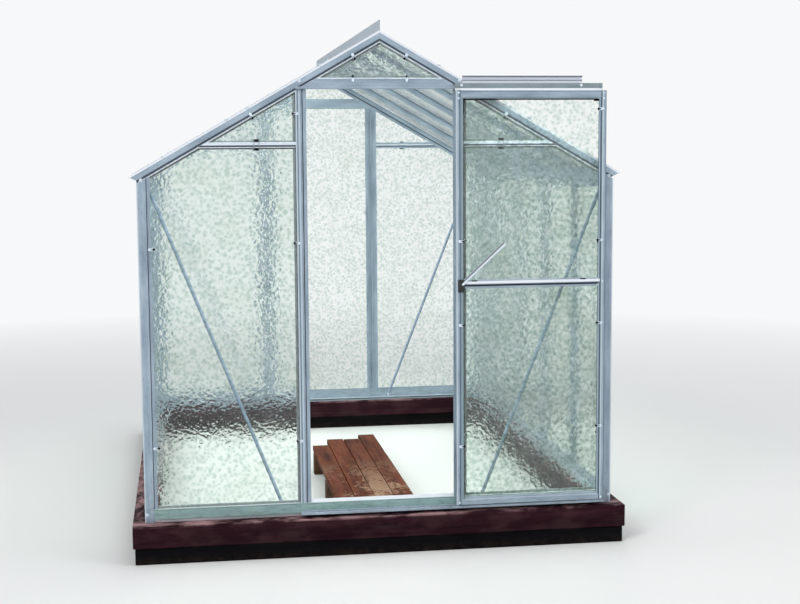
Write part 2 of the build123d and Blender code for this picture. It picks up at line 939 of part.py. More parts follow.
# Hanger bar and grooved rollers that run on the upstand of the track
roller_axis_z = track_low + track_skin + track_upstand + roller_radius - roller_groove + roller_gap
roller_y = front_y - track_ledge + track_skin / 2
hanger_front = door_back - hanger_thickness
hanger_top = door_high + hanger_height
with BuildPart() as hanger:
    block(door_left, door_right - hanger_short, hanger_front, door_back, door_high, hanger_top)
    with BuildSketch(Plane(origin=(0, door_back, 0), x_dir=(1, 0, 0), z_dir=(0, -1, 0))):
        with Locations(*[(place, roller_axis_z) for place in roller_places]):
            Circle(axle_diameter / 2 + axle_play)
    extrude(amount=hanger_thickness, mode=Mode.SUBTRACT)
save(hanger.part, "door_hanger_bar")

with BuildPart() as rollers:
    for place in roller_places:
        with BuildSketch(Plane(origin=(place, 0, roller_axis_z), x_dir=(0, 1, 0), z_dir=(1, 0, 0))):
            with BuildLine():
                Polyline(
                    (hanger_front - bolt_head_height, 0),
                    (hanger_front - bolt_head_height, bolt_head_diameter / 2 - bolt_head_chamfer),
                    (hanger_front - bolt_head_height + bolt_head_chamfer, bolt_head_diameter / 2),
                    (hanger_front, bolt_head_diameter / 2),
                    (hanger_front, axle_diameter / 2),
                    (door_back, axle_diameter / 2),
                    (door_back, roller_spacer / 2),
                    (roller_y - roller_width / 2, roller_spacer / 2),
                    (roller_y - roller_width / 2, roller_radius),
                    (roller_y - track_skin, roller_radius),
                    (roller_y - track_skin / 2 - 0.3, roller_radius - roller_groove),
                    (roller_y + track_skin / 2 + 0.3, roller_radius - roller_groove),
                    (roller_y + track_skin, roller_radius),
                    (roller_y + roller_width / 2, roller_radius),
                    (roller_y + roller_width / 2, 0),
                    close=True,
                )
            make_face()
        revolve(axis=Axis((place, 0, roller_axis_z), (0, 1, 0)))
save(rollers.part, "door_rollers")

# Glides under the door that run inside the bottom guide
with BuildPart() as glides:
    glide_front = front_y - guide_reach + guide_skin + glide_clearance
    for start in (door_left + glide_inset, door_right - glide_inset - glide_length):
        block(
            start,
            start + glide_length,
            glide_front,
            glide_front + glide_width,
            base_z + guide_skin + glide_clearance,
            door_low,
        )
save(glides.part, "door_glides")

# Latch arm on a block at the end of the mid rail
pivot_x = door_left + latch_pivot_inset
pivot_z = mid_top - latch_pivot_drop
block_front = door_face - latch_block_depth
arm_back = block_front - latch_play
with BuildPart() as latch_block:
    block(
        pivot_x - latch_block_width / 2,
        pivot_x + latch_block_width / 2,
        block_front,
        door_face,
        pivot_z + latch_block_width / 2 - latch_block_height,
        pivot_z + latch_block_width / 2,
    )
    block(
        pivot_x + latch_plate_reach - latch_plate_width,
        pivot_x + latch_plate_reach,
        door_face - latch_plate_thickness,
        door_face,
        pivot_z + latch_plate_rise - latch_plate_height,
        pivot_z + latch_plate_rise,
    )
    with BuildSketch(Plane(origin=(pivot_x, block_front, pivot_z), x_dir=(1, 0, 0), z_dir=(0, 1, 0))):
        Circle(latch_pin / 2 + latch_play)
    extrude(amount=latch_pin_length, mode=Mode.SUBTRACT)
save(latch_block.part, "latch_block")

with BuildPart() as latch_arm:
    arm_dir = (cos(radians(latch_angle)), 0, sin(radians(latch_angle)))
    arm_plane = Plane(origin=(pivot_x, arm_back, pivot_z), x_dir=arm_dir, z_dir=(0, -1, 0))
    with BuildSketch(arm_plane):
        with Locations((latch_length / 2, 0)):
            SlotCenterToCenter(latch_length, latch_width)
        Circle(latch_boss / 2)
    extrude(amount=latch_thickness)
    with BuildSketch(arm_plane):
        plate(latch_boss, latch_length, 0, latch_width / 2 + latch_flange)
    extrude(amount=latch_flange_thickness)
    with BuildSketch(arm_plane):
        Circle(latch_pin / 2)
    extrude(amount=-latch_pin_length)
save(latch_arm.part, "latch_arm")

# Walkway: boards on bearers that stand on the ground
walk_start = front_y + plinth_beam_width - plinth_projection + board_clearance
with BuildPart() as boards:
    for index, reach in enumerate(board_ends):
        start_x = board_left + index * (board_width + board_gap)
        block(
            start_x,
            start_x + board_width,
            walk_start,
            front_y + reach,
            bearer_height,
            bearer_height + board_thickness,
        )
save(boards.part, "walkway_boards")

with BuildPart() as bearers:
    walk_centre = board_left + len(board_ends) * (board_width + board_gap) / 2 - board_gap / 2
    for place in bearer_places:
        block(
            walk_centre - bearer_length / 2,
            walk_centre + bearer_length / 2,
            front_y + place,
            front_y + place + bearer_width,
            0,
            bearer_height,
        )
save(bearers.part, "walkway_bearers")
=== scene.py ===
"""Glass greenhouse: weathered aluminium, hammered glass, stained timber and the small fittings."""

from math import atan2, cos, pi, radians, sin

import bmesh
import bpy
from mathutils import Matrix, Vector, noise


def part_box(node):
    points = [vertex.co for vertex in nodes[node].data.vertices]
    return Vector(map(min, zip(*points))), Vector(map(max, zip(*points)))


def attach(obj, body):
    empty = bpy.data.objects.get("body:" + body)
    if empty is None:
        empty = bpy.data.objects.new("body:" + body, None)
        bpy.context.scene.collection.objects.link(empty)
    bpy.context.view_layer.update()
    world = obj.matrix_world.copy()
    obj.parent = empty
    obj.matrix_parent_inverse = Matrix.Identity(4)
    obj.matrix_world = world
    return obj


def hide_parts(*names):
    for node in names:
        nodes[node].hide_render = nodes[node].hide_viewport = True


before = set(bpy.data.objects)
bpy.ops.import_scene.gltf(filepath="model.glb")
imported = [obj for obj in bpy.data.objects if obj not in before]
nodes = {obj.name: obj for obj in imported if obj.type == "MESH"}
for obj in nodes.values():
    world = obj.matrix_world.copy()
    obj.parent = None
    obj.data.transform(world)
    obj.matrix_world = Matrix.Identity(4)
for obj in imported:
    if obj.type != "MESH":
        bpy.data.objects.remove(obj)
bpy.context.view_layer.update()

# Camera, as fitted to the photograph
camera_place = (-0.783, -6.9297, 1.6503)
camera_yaw = radians(8.695)
camera_pitch = radians(6.241)
camera_roll = radians(-0.389)
camera_lens = 63.36
sensor_width = 36.0

# Places read from the frame, in metres
front_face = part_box("front_corner_posts")[0].y
face_reach = abs(front_face)
wall_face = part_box("front_corner_posts")[1].x
sill_low, sill_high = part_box("sill_front")
post_inner = sill_high.x
jamb_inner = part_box("door_jamb_right")[0].x
header_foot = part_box("front_header")[0].z
rail_low, rail_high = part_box("front_side_rails")
glass_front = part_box("front_glass_left")[0].y
glass_seat = abs(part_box("front_glass_left")[1].y)
wall_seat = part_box("wall_glass_right")[0].x
wall_glass_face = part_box("wall_glass_right")[1].x
door_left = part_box("door_stile_left")[0].x
door_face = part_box("door_stile_left")[0].y
door_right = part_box("door_stile_right")[1].x
door_glass_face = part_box("door_glass")[0].y
mid_rail_low, mid_rail_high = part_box("door_mid_rail")
top_rail_low, top_rail_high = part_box("door_top_rail")
bottom_rail_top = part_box("door_bottom_rail")[1].z
track_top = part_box("door_track")[1].z
ridge_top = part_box("ridge_bar")[1].z

# Sizes that the fittings share with the frame's sections, in metres
jamb_face = 0.042
mullion_centre = 0.309
section_depth = 0.0096
header_face = 0.041
rafter_face = 0.037
rafter_lip = 0.004
rail_lip = 0.010
strip_width = 0.015
strip_step = 0.0012
stile_box = 0.022
stile_seen = 0.030
lip_step = 0.0025
mid_box_drop = 0.006
mid_box_height = 0.015
latch_pivot = Vector((0.327, -1.365, 1.102))
latch_angle = radians(42.7)
roof_rib = 0.003
ridge_fin = 0.041
bar_count = 4
bar_spacing = 0.528
brace_top = Vector((0.925, 0, 1.517))
brace_foot = Vector((0.402, 0, 0.186))
glass_foot = 0.217

# Roof line: where the outer face of the roof is at a distance from the centre
ridge_z = ridge_top - ridge_fin
eave_z = 1.545
eave_reach = 0.996
roof_slope = (ridge_z - eave_z) / eave_reach
roof_pitch = atan2(roof_slope, 1)
rafter_drop = rafter_face / cos(roof_pitch)
bar_lines = [bar_spacing * (k - (bar_count - 1) / 2) for k in range(bar_count)]

# Places worked out from these
jamb_outer = jamb_inner + jamb_face
mullion_inner = mullion_centre - jamb_face / 2
mullion_outer = mullion_centre + jamb_face / 2
header_top = header_foot + header_face
mid_box_low = mid_rail_high.z - mid_box_drop - mid_box_height
sides = (-1, 1)

# Walkway boards
board_count = 4
board_gap = 0.0025
board_pitch = 0.0875
board_edge = -0.15625

# Soil trodden onto the boards: the middle of its heap, and from front to back where it thins out and ends
soil_middle = 0.075
soil_thins, soil_ends = -0.86, -0.12


def roof_line(x, level=0.0):
    """Height of a line along the roof, level metres outward from its outer face."""
    return ridge_z - roof_slope * abs(x) + level / cos(roof_pitch)


def photo_camera():
    data = bpy.data.cameras.new("photo_camera")
    data.lens = camera_lens
    data.sensor_width = sensor_width
    data.clip_end = 80
    camera = bpy.data.objects.new("photo_camera", data)
    bpy.context.collection.objects.link(camera)
    level_run = cos(camera_pitch)
    ahead = Vector((sin(camera_yaw) * level_run, cos(camera_yaw) * level_run, -sin(camera_pitch)))
    level = Vector((cos(camera_yaw), -sin(camera_yaw), 0))
    upright = level.cross(ahead)
    right = cos(camera_roll) * level + sin(camera_roll) * upright
    up = -sin(camera_roll) * level + cos(camera_roll) * upright
    turned = Matrix((right, up, -ahead)).transposed().to_4x4()
    camera.matrix_world = Matrix.Translation(camera_place) @ turned
    bpy.context.scene.camera = camera


# Node helpers
def make(tree, kind, sockets=None, **options):
    """Add a node, set its options, and set or link its sockets by name or number."""
    made = tree.nodes.new(kind)
    for name, value in options.items():
        setattr(made, name, value)
    for name, value in (sockets or {}).items():
        if isinstance(value, bpy.types.NodeSocket):
            tree.links.new(value, made.inputs[name])
        else:
            made.inputs[name].default_value = value
    return made


def paint(red, green, blue):
    """Linear colour from the screen values 0 to 255."""
    parts = [c / 255 for c in (red, green, blue)]
    return tuple(c / 12.92 if c <= 0.04045 else ((c + 0.055) / 1.055) ** 2.4 for c in parts) + (1.0,)


def mix_colour(tree, factor, first, second):
    return make(tree, "ShaderNodeMix", {0: factor, 6: first, 7: second}, data_type="RGBA").outputs[2]


def maths(tree, operation, *values):
    return make(tree, "ShaderNodeMath", dict(enumerate(values)), operation=operation).outputs[0]


def times(tree, first, second):
    return maths(tree, "MULTIPLY", first, second)


def plus(tree, first, second):
    return maths(tree, "ADD", first, second)


def minus(tree, first, second):
    return maths(tree, "SUBTRACT", first, second)


def unsigned(tree, value):
    return maths(tree, "ABSOLUTE", value)


def spread(tree, value, low, high, to_low=0.0, to_high=1.0):
    """Map a value from one range to another, clamped."""
    sockets = {"Value": value, 1: low, 2: high, 3: to_low, 4: to_high}
    return make(tree, "ShaderNodeMapRange", sockets).outputs[0]


def parts_of(tree, vector):
    return make(tree, "ShaderNodeSeparateXYZ", {0: vector}).outputs


def face_normal(tree):
    normal = make(tree, "ShaderNodeNewGeometry").outputs["True Normal"]
    return parts_of(tree, normal)


def rough_noise(tree, vector, scale, detail=3.0, roughness=0.5):
    sockets = {"Vector": vector, "Scale": scale, "Detail": detail, "Roughness": roughness}
    return make(tree, "ShaderNodeTexNoise", sockets).outputs["Fac"]


def stretched_noise(tree, vector, scale, detail, roughness):
    """Noise with its own scale along each axis."""
    stretched = make(tree, "ShaderNodeMapping", {"Vector": vector, "Scale": scale}).outputs[0]
    return rough_noise(tree, stretched, 1.0, detail, roughness)


def new_group(name, inputs, outputs):
    """Shader node group with named sockets; gives the tree and its input and output nodes."""
    group = bpy.data.node_groups.new(name, "ShaderNodeTree")
    for label, kind, value in inputs:
        socket = group.interface.new_socket(label, in_out="INPUT", socket_type=kind)
        if value is not None:
            socket.default_value = value
    for label, kind in outputs:
        group.interface.new_socket(label, in_out="OUTPUT", socket_type=kind)
    return group, group.nodes.new("NodeGroupInput").outputs, group.nodes.new("NodeGroupOutput").inputs


FLOAT = "NodeSocketFloat"
COLOUR = "NodeSocketColor"
VECTOR = "NodeSocketVector"
finish_outputs = [("Color", COLOUR), ("Roughness", FLOAT), ("Height", FLOAT)]


def extrusion_finish_group():
    """Weathered extruded metal: die lines along X, oxide mottling, water marks and grime near the ground."""
    group, given, out = new_group(
        "extrusion_finish",
        [
            ("Vector", VECTOR, None),
            ("Height Above Ground", FLOAT, 0.5),
            ("Pale", COLOUR, (0.5, 0.5, 0.5, 1)),
            ("Dull", COLOUR, (0.3, 0.3, 0.3, 1)),
            ("Grime", COLOUR, (0.1, 0.1, 0.08, 1)),
            ("Base Roughness", FLOAT, 0.4),
        ],
        finish_outputs,
    )
    die_lines = stretched_noise(group, given["Vector"], (0.6, 420, 420), 4, 0.6)
    mottle = stretched_noise(group, given["Vector"], (6, 22, 22), 6, 0.62)
    marks = stretched_noise(group, given["Vector"], (26, 90, 90), 5, 0.7)
    speckle = rough_noise(group, given["Vector"], 420, 2, 0.6)
    tone = maths(group, "MULTIPLY_ADD", die_lines, 0.35, times(group, mottle, 0.65))
    colour = mix_colour(group, spread(group, tone, 0.36, 0.66), given["Dull"], given["Pale"])
    pale_spots = times(group, spread(group, speckle, 0.6, 0.72), 0.30)
    colour = mix_colour(group, pale_spots, colour, (0.86, 0.88, 0.90, 1))
    stains = times(group, spread(group, marks, 0.58, 0.74), 0.35)
    colour = mix_colour(group, stains, colour, given["Grime"])
    low = spread(group, given["Height Above Ground"], 0.16, 0.42, 1.0, 0.0)
    splash = times(group, low, spread(group, marks, 0.46, 0.74, 0.0, 0.5))
    colour = mix_colour(group, splash, colour, given["Grime"])
    group.links.new(colour, out["Color"])
    rough = plus(group, given["Base Roughness"], spread(group, mottle, 0.3, 0.7, -0.08, 0.12))
    group.links.new(plus(group, rough, times(group, splash, 0.3)), out["Roughness"])
    group.links.new(maths(group, "MULTIPLY_ADD", speckle, 0.4, die_lines), out["Height"])
    return group


def timber_grain_group():
    """Sawn timber with the grain along X: rings, fibres, cracks and worn patches."""
    group, given, out = new_group(
        "timber_grain",
        [
            ("Vector", VECTOR, None),
            ("Dark", COLOUR, (0.05, 0.03, 0.03, 1)),
            ("Light", COLOUR, (0.1, 0.05, 0.05, 1)),
            ("Worn", COLOUR, (0.3, 0.2, 0.2, 1)),
            ("Wear", FLOAT, 0.0),
        ],
        finish_outputs,
    )
    fibres = stretched_noise(group, given["Vector"], (5, 260, 260), 5, 0.62)
    rings = stretched_noise(group, given["Vector"], (1.4, 34, 34), 3, 0.55)
    patches = stretched_noise(group, given["Vector"], (7, 16, 16), 5, 0.6)
    cracks = spread(group, stretched_noise(group, given["Vector"], (2.2, 150, 150), 2, 0.5), 0.66, 0.70)
    tone = maths(group, "MULTIPLY_ADD", fibres, 0.5, times(group, rings, 0.5))
    colour = mix_colour(group, spread(group, tone, 0.36, 0.64), given["Dark"], given["Light"])
    bare = times(group, spread(group, patches, 0.44, 0.62), given["Wear"])
    colour = mix_colour(group, bare, colour, given["Worn"])
    colour = mix_colour(group, times(group, cracks, 0.7), colour, (0.012, 0.009, 0.009, 1))
    group.links.new(colour, out["Color"])
    group.links.new(spread(group, tone, 0.3, 0.7, 0.72, 0.55), out["Roughness"])
    group.links.new(minus(group, tone, times(group, cracks, 1.4)), out["Height"])
    return group


def hammered_relief_group():
    """Relief of hammered glass: shallow rounded dents of uneven size, with a slow wave under them, and a mask
    for painted shade.
    """
    group, given, out = new_group(
        "hammered_relief",
        [("Vector", VECTOR, None), ("Dents Per Metre", FLOAT, 80.0)],
        [("Height", FLOAT), ("Shade", FLOAT)],
    )
    sockets = {"Vector": given["Vector"], "Scale": 30.0, "Detail": 2.0}
    bend = make(group, "ShaderNodeTexNoise", sockets).outputs["Color"]
    sockets = {0: bend, 1: (0.014, 0.014, 0.014)}
    pushed = make(group, "ShaderNodeVectorMath", sockets, operation="MULTIPLY").outputs[0]
    sockets = {0: given["Vector"], 1: pushed}
    moved = make(group, "ShaderNodeVectorMath", sockets, operation="ADD").outputs[0]
    sockets = {"Vector": moved, "Scale": given["Dents Per Metre"], "Smoothness": 0.8}
    cells = make(group, "ShaderNodeTexVoronoi", sockets, feature="SMOOTH_F1").outputs["Distance"]
    wave = rough_noise(group, given["Vector"], 55, 2, 0.5)
    height = maths(group, "MULTIPLY_ADD", wave, 0.7, cells)
    group.links.new(height, out["Height"])
    group.links.new(spread(group, height, 0.45, 0.95), out["Shade"])
    return group


extrusion = extrusion_finish_group()
grain = timber_grain_group()
relief = hammered_relief_group()


# Material helpers
def new_material(name):
    """Empty material: gives it, its tree and its object coordinates."""
    material = bpy.data.materials.new(name)
    material.use_nodes = True
    tree = material.node_tree
    tree.nodes.clear()
    return material, tree, make(tree, "ShaderNodeTexCoord").outputs["Object"]


def surface(tree, colour, roughness, height, bump_distance, bump_strength, more, normal=None):
    """Principled shader with a bump from the height, over a normal if one is given, and more sockets."""
    bump = {"Height": height, "Distance": bump_distance, "Strength": bump_strength}
    if normal:
        bump["Normal"] = normal
    bumped = make(tree, "ShaderNodeBump", bump).outputs[0]
    sockets = {"Base Color": colour, "Roughness": roughness, "Normal": bumped, **more}
    shader = make(tree, "ShaderNodeBsdfPrincipled", sockets)
    make(tree, "ShaderNodeOutputMaterial", {"Surface": shader.outputs[0]})


def show_mixed(tree, factor, first, second, output="ShaderNodeOutputMaterial"):
    """Mix two shaders by a factor and link them to the output."""
    both = make(tree, "ShaderNodeMixShader", {0: factor, 1: first.outputs[0], 2: second.outputs[0]})
    make(tree, output, {"Surface": both.outputs[0]})


def turned_point(tree, point, turn):
    return make(tree, "ShaderNodeMapping", {"Vector": point, "Rotation": turn}).outputs[0]


def placed(tree, group, sockets):
    """Outputs of a shader group placed in a material with its own values."""
    return make(tree, "ShaderNodeGroup", sockets, node_tree=group).outputs


# Masks on the metal
band_softness = 0.0003


def level_band(tree, height, low, high):
    """Mask of what lies between two heights."""
    above = spread(tree, height, low - band_softness, low + band_softness)
    below = spread(tree, height, high - band_softness, high + band_softness, 1.0, 0.0)
    return times(tree, above, below)


def over_roof_line(tree, point):
    """Height of a point over the roof line beside it."""
    parts = parts_of(tree, point)
    out = unsigned(tree, parts["X"])
    return maths(tree, "MULTIPLY_ADD", out, roof_slope, minus(tree, parts["Z"], ridge_z))


def behind_glass(tree, point):
    """Mask of the outward faces that the gable and wall panes cover, painted pale: clean metal, with painted
    light for what comes through the glass.
    """
    parts = parts_of(tree, point)
    leans = face_normal(tree)
    masks = []
    for axis, seat in (("Y", glass_seat), ("X", wall_seat)):
        out = unsigned(tree, parts[axis])
        inner = spread(tree, out, seat - 0.0042, seat - 0.0038)
        outer = spread(tree, out, seat + 0.0002, seat + 0.0006, 1.0, 0.0)
        outward = spread(tree, times(tree, parts[axis], leans[axis]), 0.6, 0.8)
        masks.append(times(tree, outward, times(tree, inner, outer)))
    return maths(tree, "MAXIMUM", *masks)


def upright_lines(tree, point, colour, uprights):
    """Colour an upright's front and back faces with painted highlight and shade lines for its ribs and
    grooves.

    Each line gives two distances from the middle of the greenhouse and the colour painted between them.
    """
    flat_on = spread(tree, unsigned(tree, face_normal(tree)["Y"]), 0.5, 0.7, 0.0, 0.85)
    out = unsigned(tree, parts_of(tree, point)["X"])
    for low, high, tone in uprights:
        shown = times(tree, flat_on, level_band(tree, out, low, high))
        colour = mix_colour(tree, shown, colour, paint(*tone))
    return colour


def rafter_lines(tree, point, colour):
    """Colour with a painted highlight along the top edge of the gable rafters and painted shade along their
    foot.
    """
    bright_edge = spread(tree, over_roof_line(tree, point), -0.0100, -0.0085, 0.0, 0.8)
    colour = mix_colour(tree, bright_edge, colour, paint(236, 240, 246))
    foot = level_band(tree, over_roof_line(tree, point), -rafter_drop + 0.0020, -rafter_drop + 0.0100)
    return mix_colour(tree, times(tree, foot, 0.92), colour, paint(18, 30, 44))


def brace_line(tree, point, colour, low, high, tone):
    """Colour the braces with a painted highlight or shade line, between two distances outward from their
    middle.
    """
    parts = parts_of(tree, point)
    run = (brace_top - brace_foot).normalized()
    aside = minus(tree, unsigned(tree, parts["X"]), brace_foot.x)
    above = minus(tree, parts["Z"], brace_foot.z)
    across = minus(tree, times(tree, aside, run.z), times(tree, above, run.x))
    return mix_colour(tree, level_band(tree, across, low, high), colour, paint(*tone))


# Finishes
def aluminium(
    name,
    turn,
    top_edge=False,
    bands=(),
    uprights=(),
    brace_lines=(),
    pale=(170, 186, 200),
    dull=(126, 144, 160),
    under_pane_colour=(236, 241, 244),
):
    """Mill-finish aluminium with its die lines along the direction that the turn brings to X.

    Its edges shade as if rounded; what faces up is painted lighter as a painted highlight, and what faces
    down is painted darker as painted shade. Each band gives two heights and the colour painted between them,
    as a painted highlight or painted shade line. Under pane colour is its colour where the panes cover it, by
    default clean metal with painted light for what comes through the glass.
    """
    material, tree, point = new_material(name)
    height = parts_of(tree, point)["Z"]
    rounded = make(tree, "ShaderNodeBevel", {"Radius": 0.0022}, samples=3).outputs[0]
    lean = parts_of(tree, rounded)["Z"]
    sockets = {
        "Vector": turned_point(tree, point, turn),
        "Height Above Ground": height,
        "Pale": paint(*pale),
        "Dull": paint(*dull),
        "Grime": paint(88, 94, 94),
        "Base Roughness": 0.36,
    }
    finish = placed(tree, extrusion, sockets)
    # Painted pale where the panes cover the metal: clean metal and painted light through the glass
    colour = mix_colour(tree, behind_glass(tree, point), finish["Color"], paint(*under_pane_colour))
    # Painted highlight on what faces up and painted shade on what faces down, from the rounded normal's lean
    colour = mix_colour(tree, spread(tree, lean, 0.15, 0.75, 0.0, 0.8), colour, paint(236, 241, 246))
    colour = mix_colour(tree, spread(tree, lean, -0.75, -0.15, 0.6, 0.0), colour, paint(78, 90, 100))
    for low, high, tone in bands:
        shown = times(tree, level_band(tree, height, low, high), 0.88)
        colour = mix_colour(tree, shown, colour, paint(*tone))
    if uprights:
        colour = upright_lines(tree, point, colour, uprights)
    for low, high, tone in brace_lines:
        colour = brace_line(tree, point, colour, low, high, tone)
    if top_edge:
        colour = rafter_lines(tree, point, colour)
    surface(tree, colour, finish["Roughness"], finish["Height"], 0.00012, 0.5, {"Metallic": 0.35}, rounded)
    return material


dents_per_metre = 66.0


def hammered_glass(name, dust):
    """Faintly green hammered glass; rays from lamps go straight through it."""
    material, tree, point = new_material(name)
    dented = placed(tree, relief, {"Vector": point, "Dents Per Metre": dents_per_metre})
    film = rough_noise(tree, point, 5.5, 5, 0.6)
    # Painted shade: the glass is painted darker green where the relief is low, in the dents
    colour = mix_colour(tree, dented["Shade"], paint(206, 222, 215), paint(250, 254, 252))
    colour = mix_colour(tree, spread(tree, film, 0.5, 0.75, 0.0, dust), colour, paint(196, 206, 188))
    bump = {"Height": dented["Height"], "Distance": 0.0013, "Strength": 1.0}
    sockets = {
        "Base Color": colour,
        "Roughness": spread(tree, film, 0.4, 0.75, 0.06, 0.14),
        "Normal": make(tree, "ShaderNodeBump", bump).outputs[0],
        "IOR": 1.48,
        "Transmission Weight": 1.0,
    }
    pane = make(tree, "ShaderNodeBsdfPrincipled", sockets)
    clear = make(tree, "ShaderNodeBsdfTransparent", {"Color": (0.94, 0.98, 0.96, 1)})
    show_mixed(tree, make(tree, "ShaderNodeLightPath").outputs["Is Shadow Ray"], pane, clear)
    return material


wood_shine = {"Specular IOR Level": 0.05}


def grained(tree, vector, dark, light, worn, wear):
    tones = {"Dark": paint(*dark), "Light": paint(*light), "Worn": paint(*worn)}
    return placed(tree, grain, {"Vector": vector, "Wear": wear, **tones})


def timber(name, turn, dark, light, worn, worn_height, worn_band, least_wear):
    """Stained timber, worn bare near the height given, such as along its top edge."""
    material, tree, point = new_material(name)
    height = parts_of(tree, point)["Z"]
    from_edge = unsigned(tree, minus(tree, height, worn_height))
    turned = turned_point(tree, point, turn)
    wear = spread(tree, from_edge, 0.0, worn_band, 1.0, least_wear)
    finish = grained(tree, turned, dark, light, worn, wear)
    soil = rough_noise(tree, point, 38, 5, 0.62)
    low = spread(tree, height, 0.0, 0.04, 0.35, 0.0)
    soiled = times(tree, low, spread(tree, soil, 0.42, 0.6))
    colour = mix_colour(tree, soiled, finish["Color"], paint(58, 46, 38))
    surface(tree, colour, finish["Roughness"], finish["Height"], 0.0016, 0.9, wood_shine)
    return material


def walkway_timber(name, turn):
    """Red-brown walkway boards, each of its own tone, with dried soil trodden in by the door."""
    material, tree, point = new_material(name)
    parts = parts_of(tree, point)
    board = maths(tree, "FLOOR", maths(tree, "DIVIDE", minus(tree, parts["X"], board_edge), board_pitch))
    shift = make(tree, "ShaderNodeCombineXYZ", {"X": times(tree, board, 7.3)}).outputs[0]
    turned = turned_point(tree, point, turn)
    own = make(tree, "ShaderNodeVectorMath", {0: turned, 1: shift}, operation="ADD").outputs[0]
    finish = grained(tree, own, (54, 20, 9), (118, 54, 27), (142, 82, 50), 0.30)
    tone = make(tree, "ShaderNodeTexWhiteNoise", {"W": board}, noise_dimensions="1D").outputs["Value"]
    colour = mix_colour(tree, spread(tree, tone, 0.0, 1.0, 0.0, 0.35), finish["Color"], paint(70, 34, 26))
    crumbs = rough_noise(tree, point, 55, 6, 0.68)
    smear = stretched_noise(tree, point, (9, 5, 9), 4, 0.6)
    by_door = spread(tree, parts["Y"], soil_thins, soil_ends, 1.0, 0.0)
    from_middle = unsigned(tree, minus(tree, parts["X"], soil_middle))
    piled = spread(tree, from_middle, 0.02, 0.13, 0.26, 0.0)
    heap = times(tree, plus(tree, piled, -0.11), by_door)
    cover = plus(tree, plus(tree, crumbs, smear), heap)
    soil = times(tree, by_door, spread(tree, cover, 0.99, 1.10, 0.0, 0.9))
    dry_soil = mix_colour(tree, crumbs, paint(150, 110, 86), paint(190, 158, 132))
    colour = mix_colour(tree, soil, colour, dry_soil)
    damp = times(tree, spread(tree, smear, 0.5, 0.7), spread(tree, parts["Y"], -0.9, 0.2, 0.0, 0.5))
    colour = mix_colour(tree, damp, colour, paint(40, 24, 20))
    height = maths(tree, "MULTIPLY_ADD", soil, 0.8, finish["Height"])
    surface(tree, colour, finish["Roughness"], height, 0.0018, 0.9, wood_shine)
    return material


def moulded(name, colour, pale, roughness, grain_scale, shine=0.5):
    """Moulded plastic or rubber with a fine surface grain and dust in it."""
    material, tree, point = new_material(name)
    pores = rough_noise(tree, point, grain_scale, 3, 0.6)
    dust = spread(tree, rough_noise(tree, point, 40, 4, 0.6), 0.5, 0.72, 0.0, 0.5)
    dusty = mix_colour(tree, dust, paint(*colour), paint(*pale))
    rough = spread(tree, pores, 0.3, 0.7, roughness - 0.08, roughness + 0.1)
    surface(tree, dusty, rough, pores, 0.0002, 0.5, {"Specular IOR Level": shine})
    return material


def latch_flange(tree, point, colour):
    """Colour the latch arm with a band of painted shade along its fold and a duller painted-shade flange
    beyond it.
    """
    parts = parts_of(tree, point)
    raised = times(tree, minus(tree, parts["Z"], latch_pivot.z), cos(latch_angle))
    moved = times(tree, minus(tree, parts["X"], latch_pivot.x), sin(latch_angle))
    across = minus(tree, raised, moved)
    fold_end = spread(tree, across, 0.0072, 0.0080, 1.0, 0.0)
    fold = times(tree, spread(tree, across, 0.0034, 0.0040), fold_end)
    colour = mix_colour(tree, spread(tree, across, 0.0036, 0.0042), colour, paint(176, 186, 190))
    return mix_colour(tree, fold, colour, paint(58, 66, 66))


def plated_steel(name, bright, dull, roughness, metallic, flange=False):
    """Zinc-plated steel: cloudy, with a few dull patches and fine scratches."""
    material, tree, point = new_material(name)
    cloud = rough_noise(tree, point, 90, 5, 0.6)
    scratch = stretched_noise(tree, point, (40, 900, 900), 2, 0.5)
    colour = mix_colour(tree, spread(tree, cloud, 0.42, 0.66), paint(*bright), paint(*dull))
    if flange:
        colour = latch_flange(tree, point, colour)
    rough = spread(tree, cloud, 0.3, 0.7, roughness - 0.08, roughness + 0.14)
    surface(tree, colour, rough, scratch, 0.00008, 0.4, {"Metallic": metallic})
    return material


def finish_nodes(material, *names):
    """Give CAD nodes a material in all their slots."""
    for name in names:
        piece = nodes[name]
        if not piece.data.materials:
            piece.data.materials.append(material)
        for place in piece.material_slots:
            place.material = material


# Geometry Nodes trees
def new_tree(name, inputs):
    """Geometry tree with named inputs; gives the tree, the incoming geometry, its inputs and its end."""
    tree = bpy.data.node_groups.new(name, "GeometryNodeTree")
    tree.interface.new_socket("Geometry", in_out="INPUT", socket_type="NodeSocketGeometry")
    for label, kind in inputs:
        tree.interface.new_socket(label, in_out="INPUT", socket_type=kind)
    tree.interface.new_socket("Geometry", in_out="OUTPUT", socket_type="NodeSocketGeometry")
    given = tree.nodes.new("NodeGroupInput").outputs
    return tree, given, tree.nodes.new("NodeGroupOutput").inputs["Geometry"]


def finish_tree(tree, geometry, material, end):
    """Close a tree with Realize Instances and Set Material."""
    real = make(tree, "GeometryNodeRealizeInstances", {"Geometry": geometry}).outputs[0]
    done = make(tree, "GeometryNodeSetMaterial", {"Geometry": real, "Material": material}).outputs[0]
    tree.links.new(done, end)


def at_places(tree, loose_points, instance):
    """Put an instance on every place, turned as its attribute says."""
    named = make(tree, "GeometryNodeInputNamedAttribute", {"Name": "turn"}, data_type="FLOAT_VECTOR")
    as_turn = make(tree, "FunctionNodeEulerToRotation", {0: named.outputs[0]}).outputs[0]
    points = make(tree, "GeometryNodeMeshToPoints", {"Mesh": loose_points}).outputs[0]
    sockets = {"Points": points, "Instance": instance, "Rotation": as_turn}
    return make(tree, "GeometryNodeInstanceOnPoints", sockets).outputs[0]


def wire_section(tree, radius):
    """Outline that a wire or bead is swept with."""
    return make(tree, "GeometryNodeCurvePrimitiveCircle", {"Resolution": 6, "Radius": radius}).outputs[0]


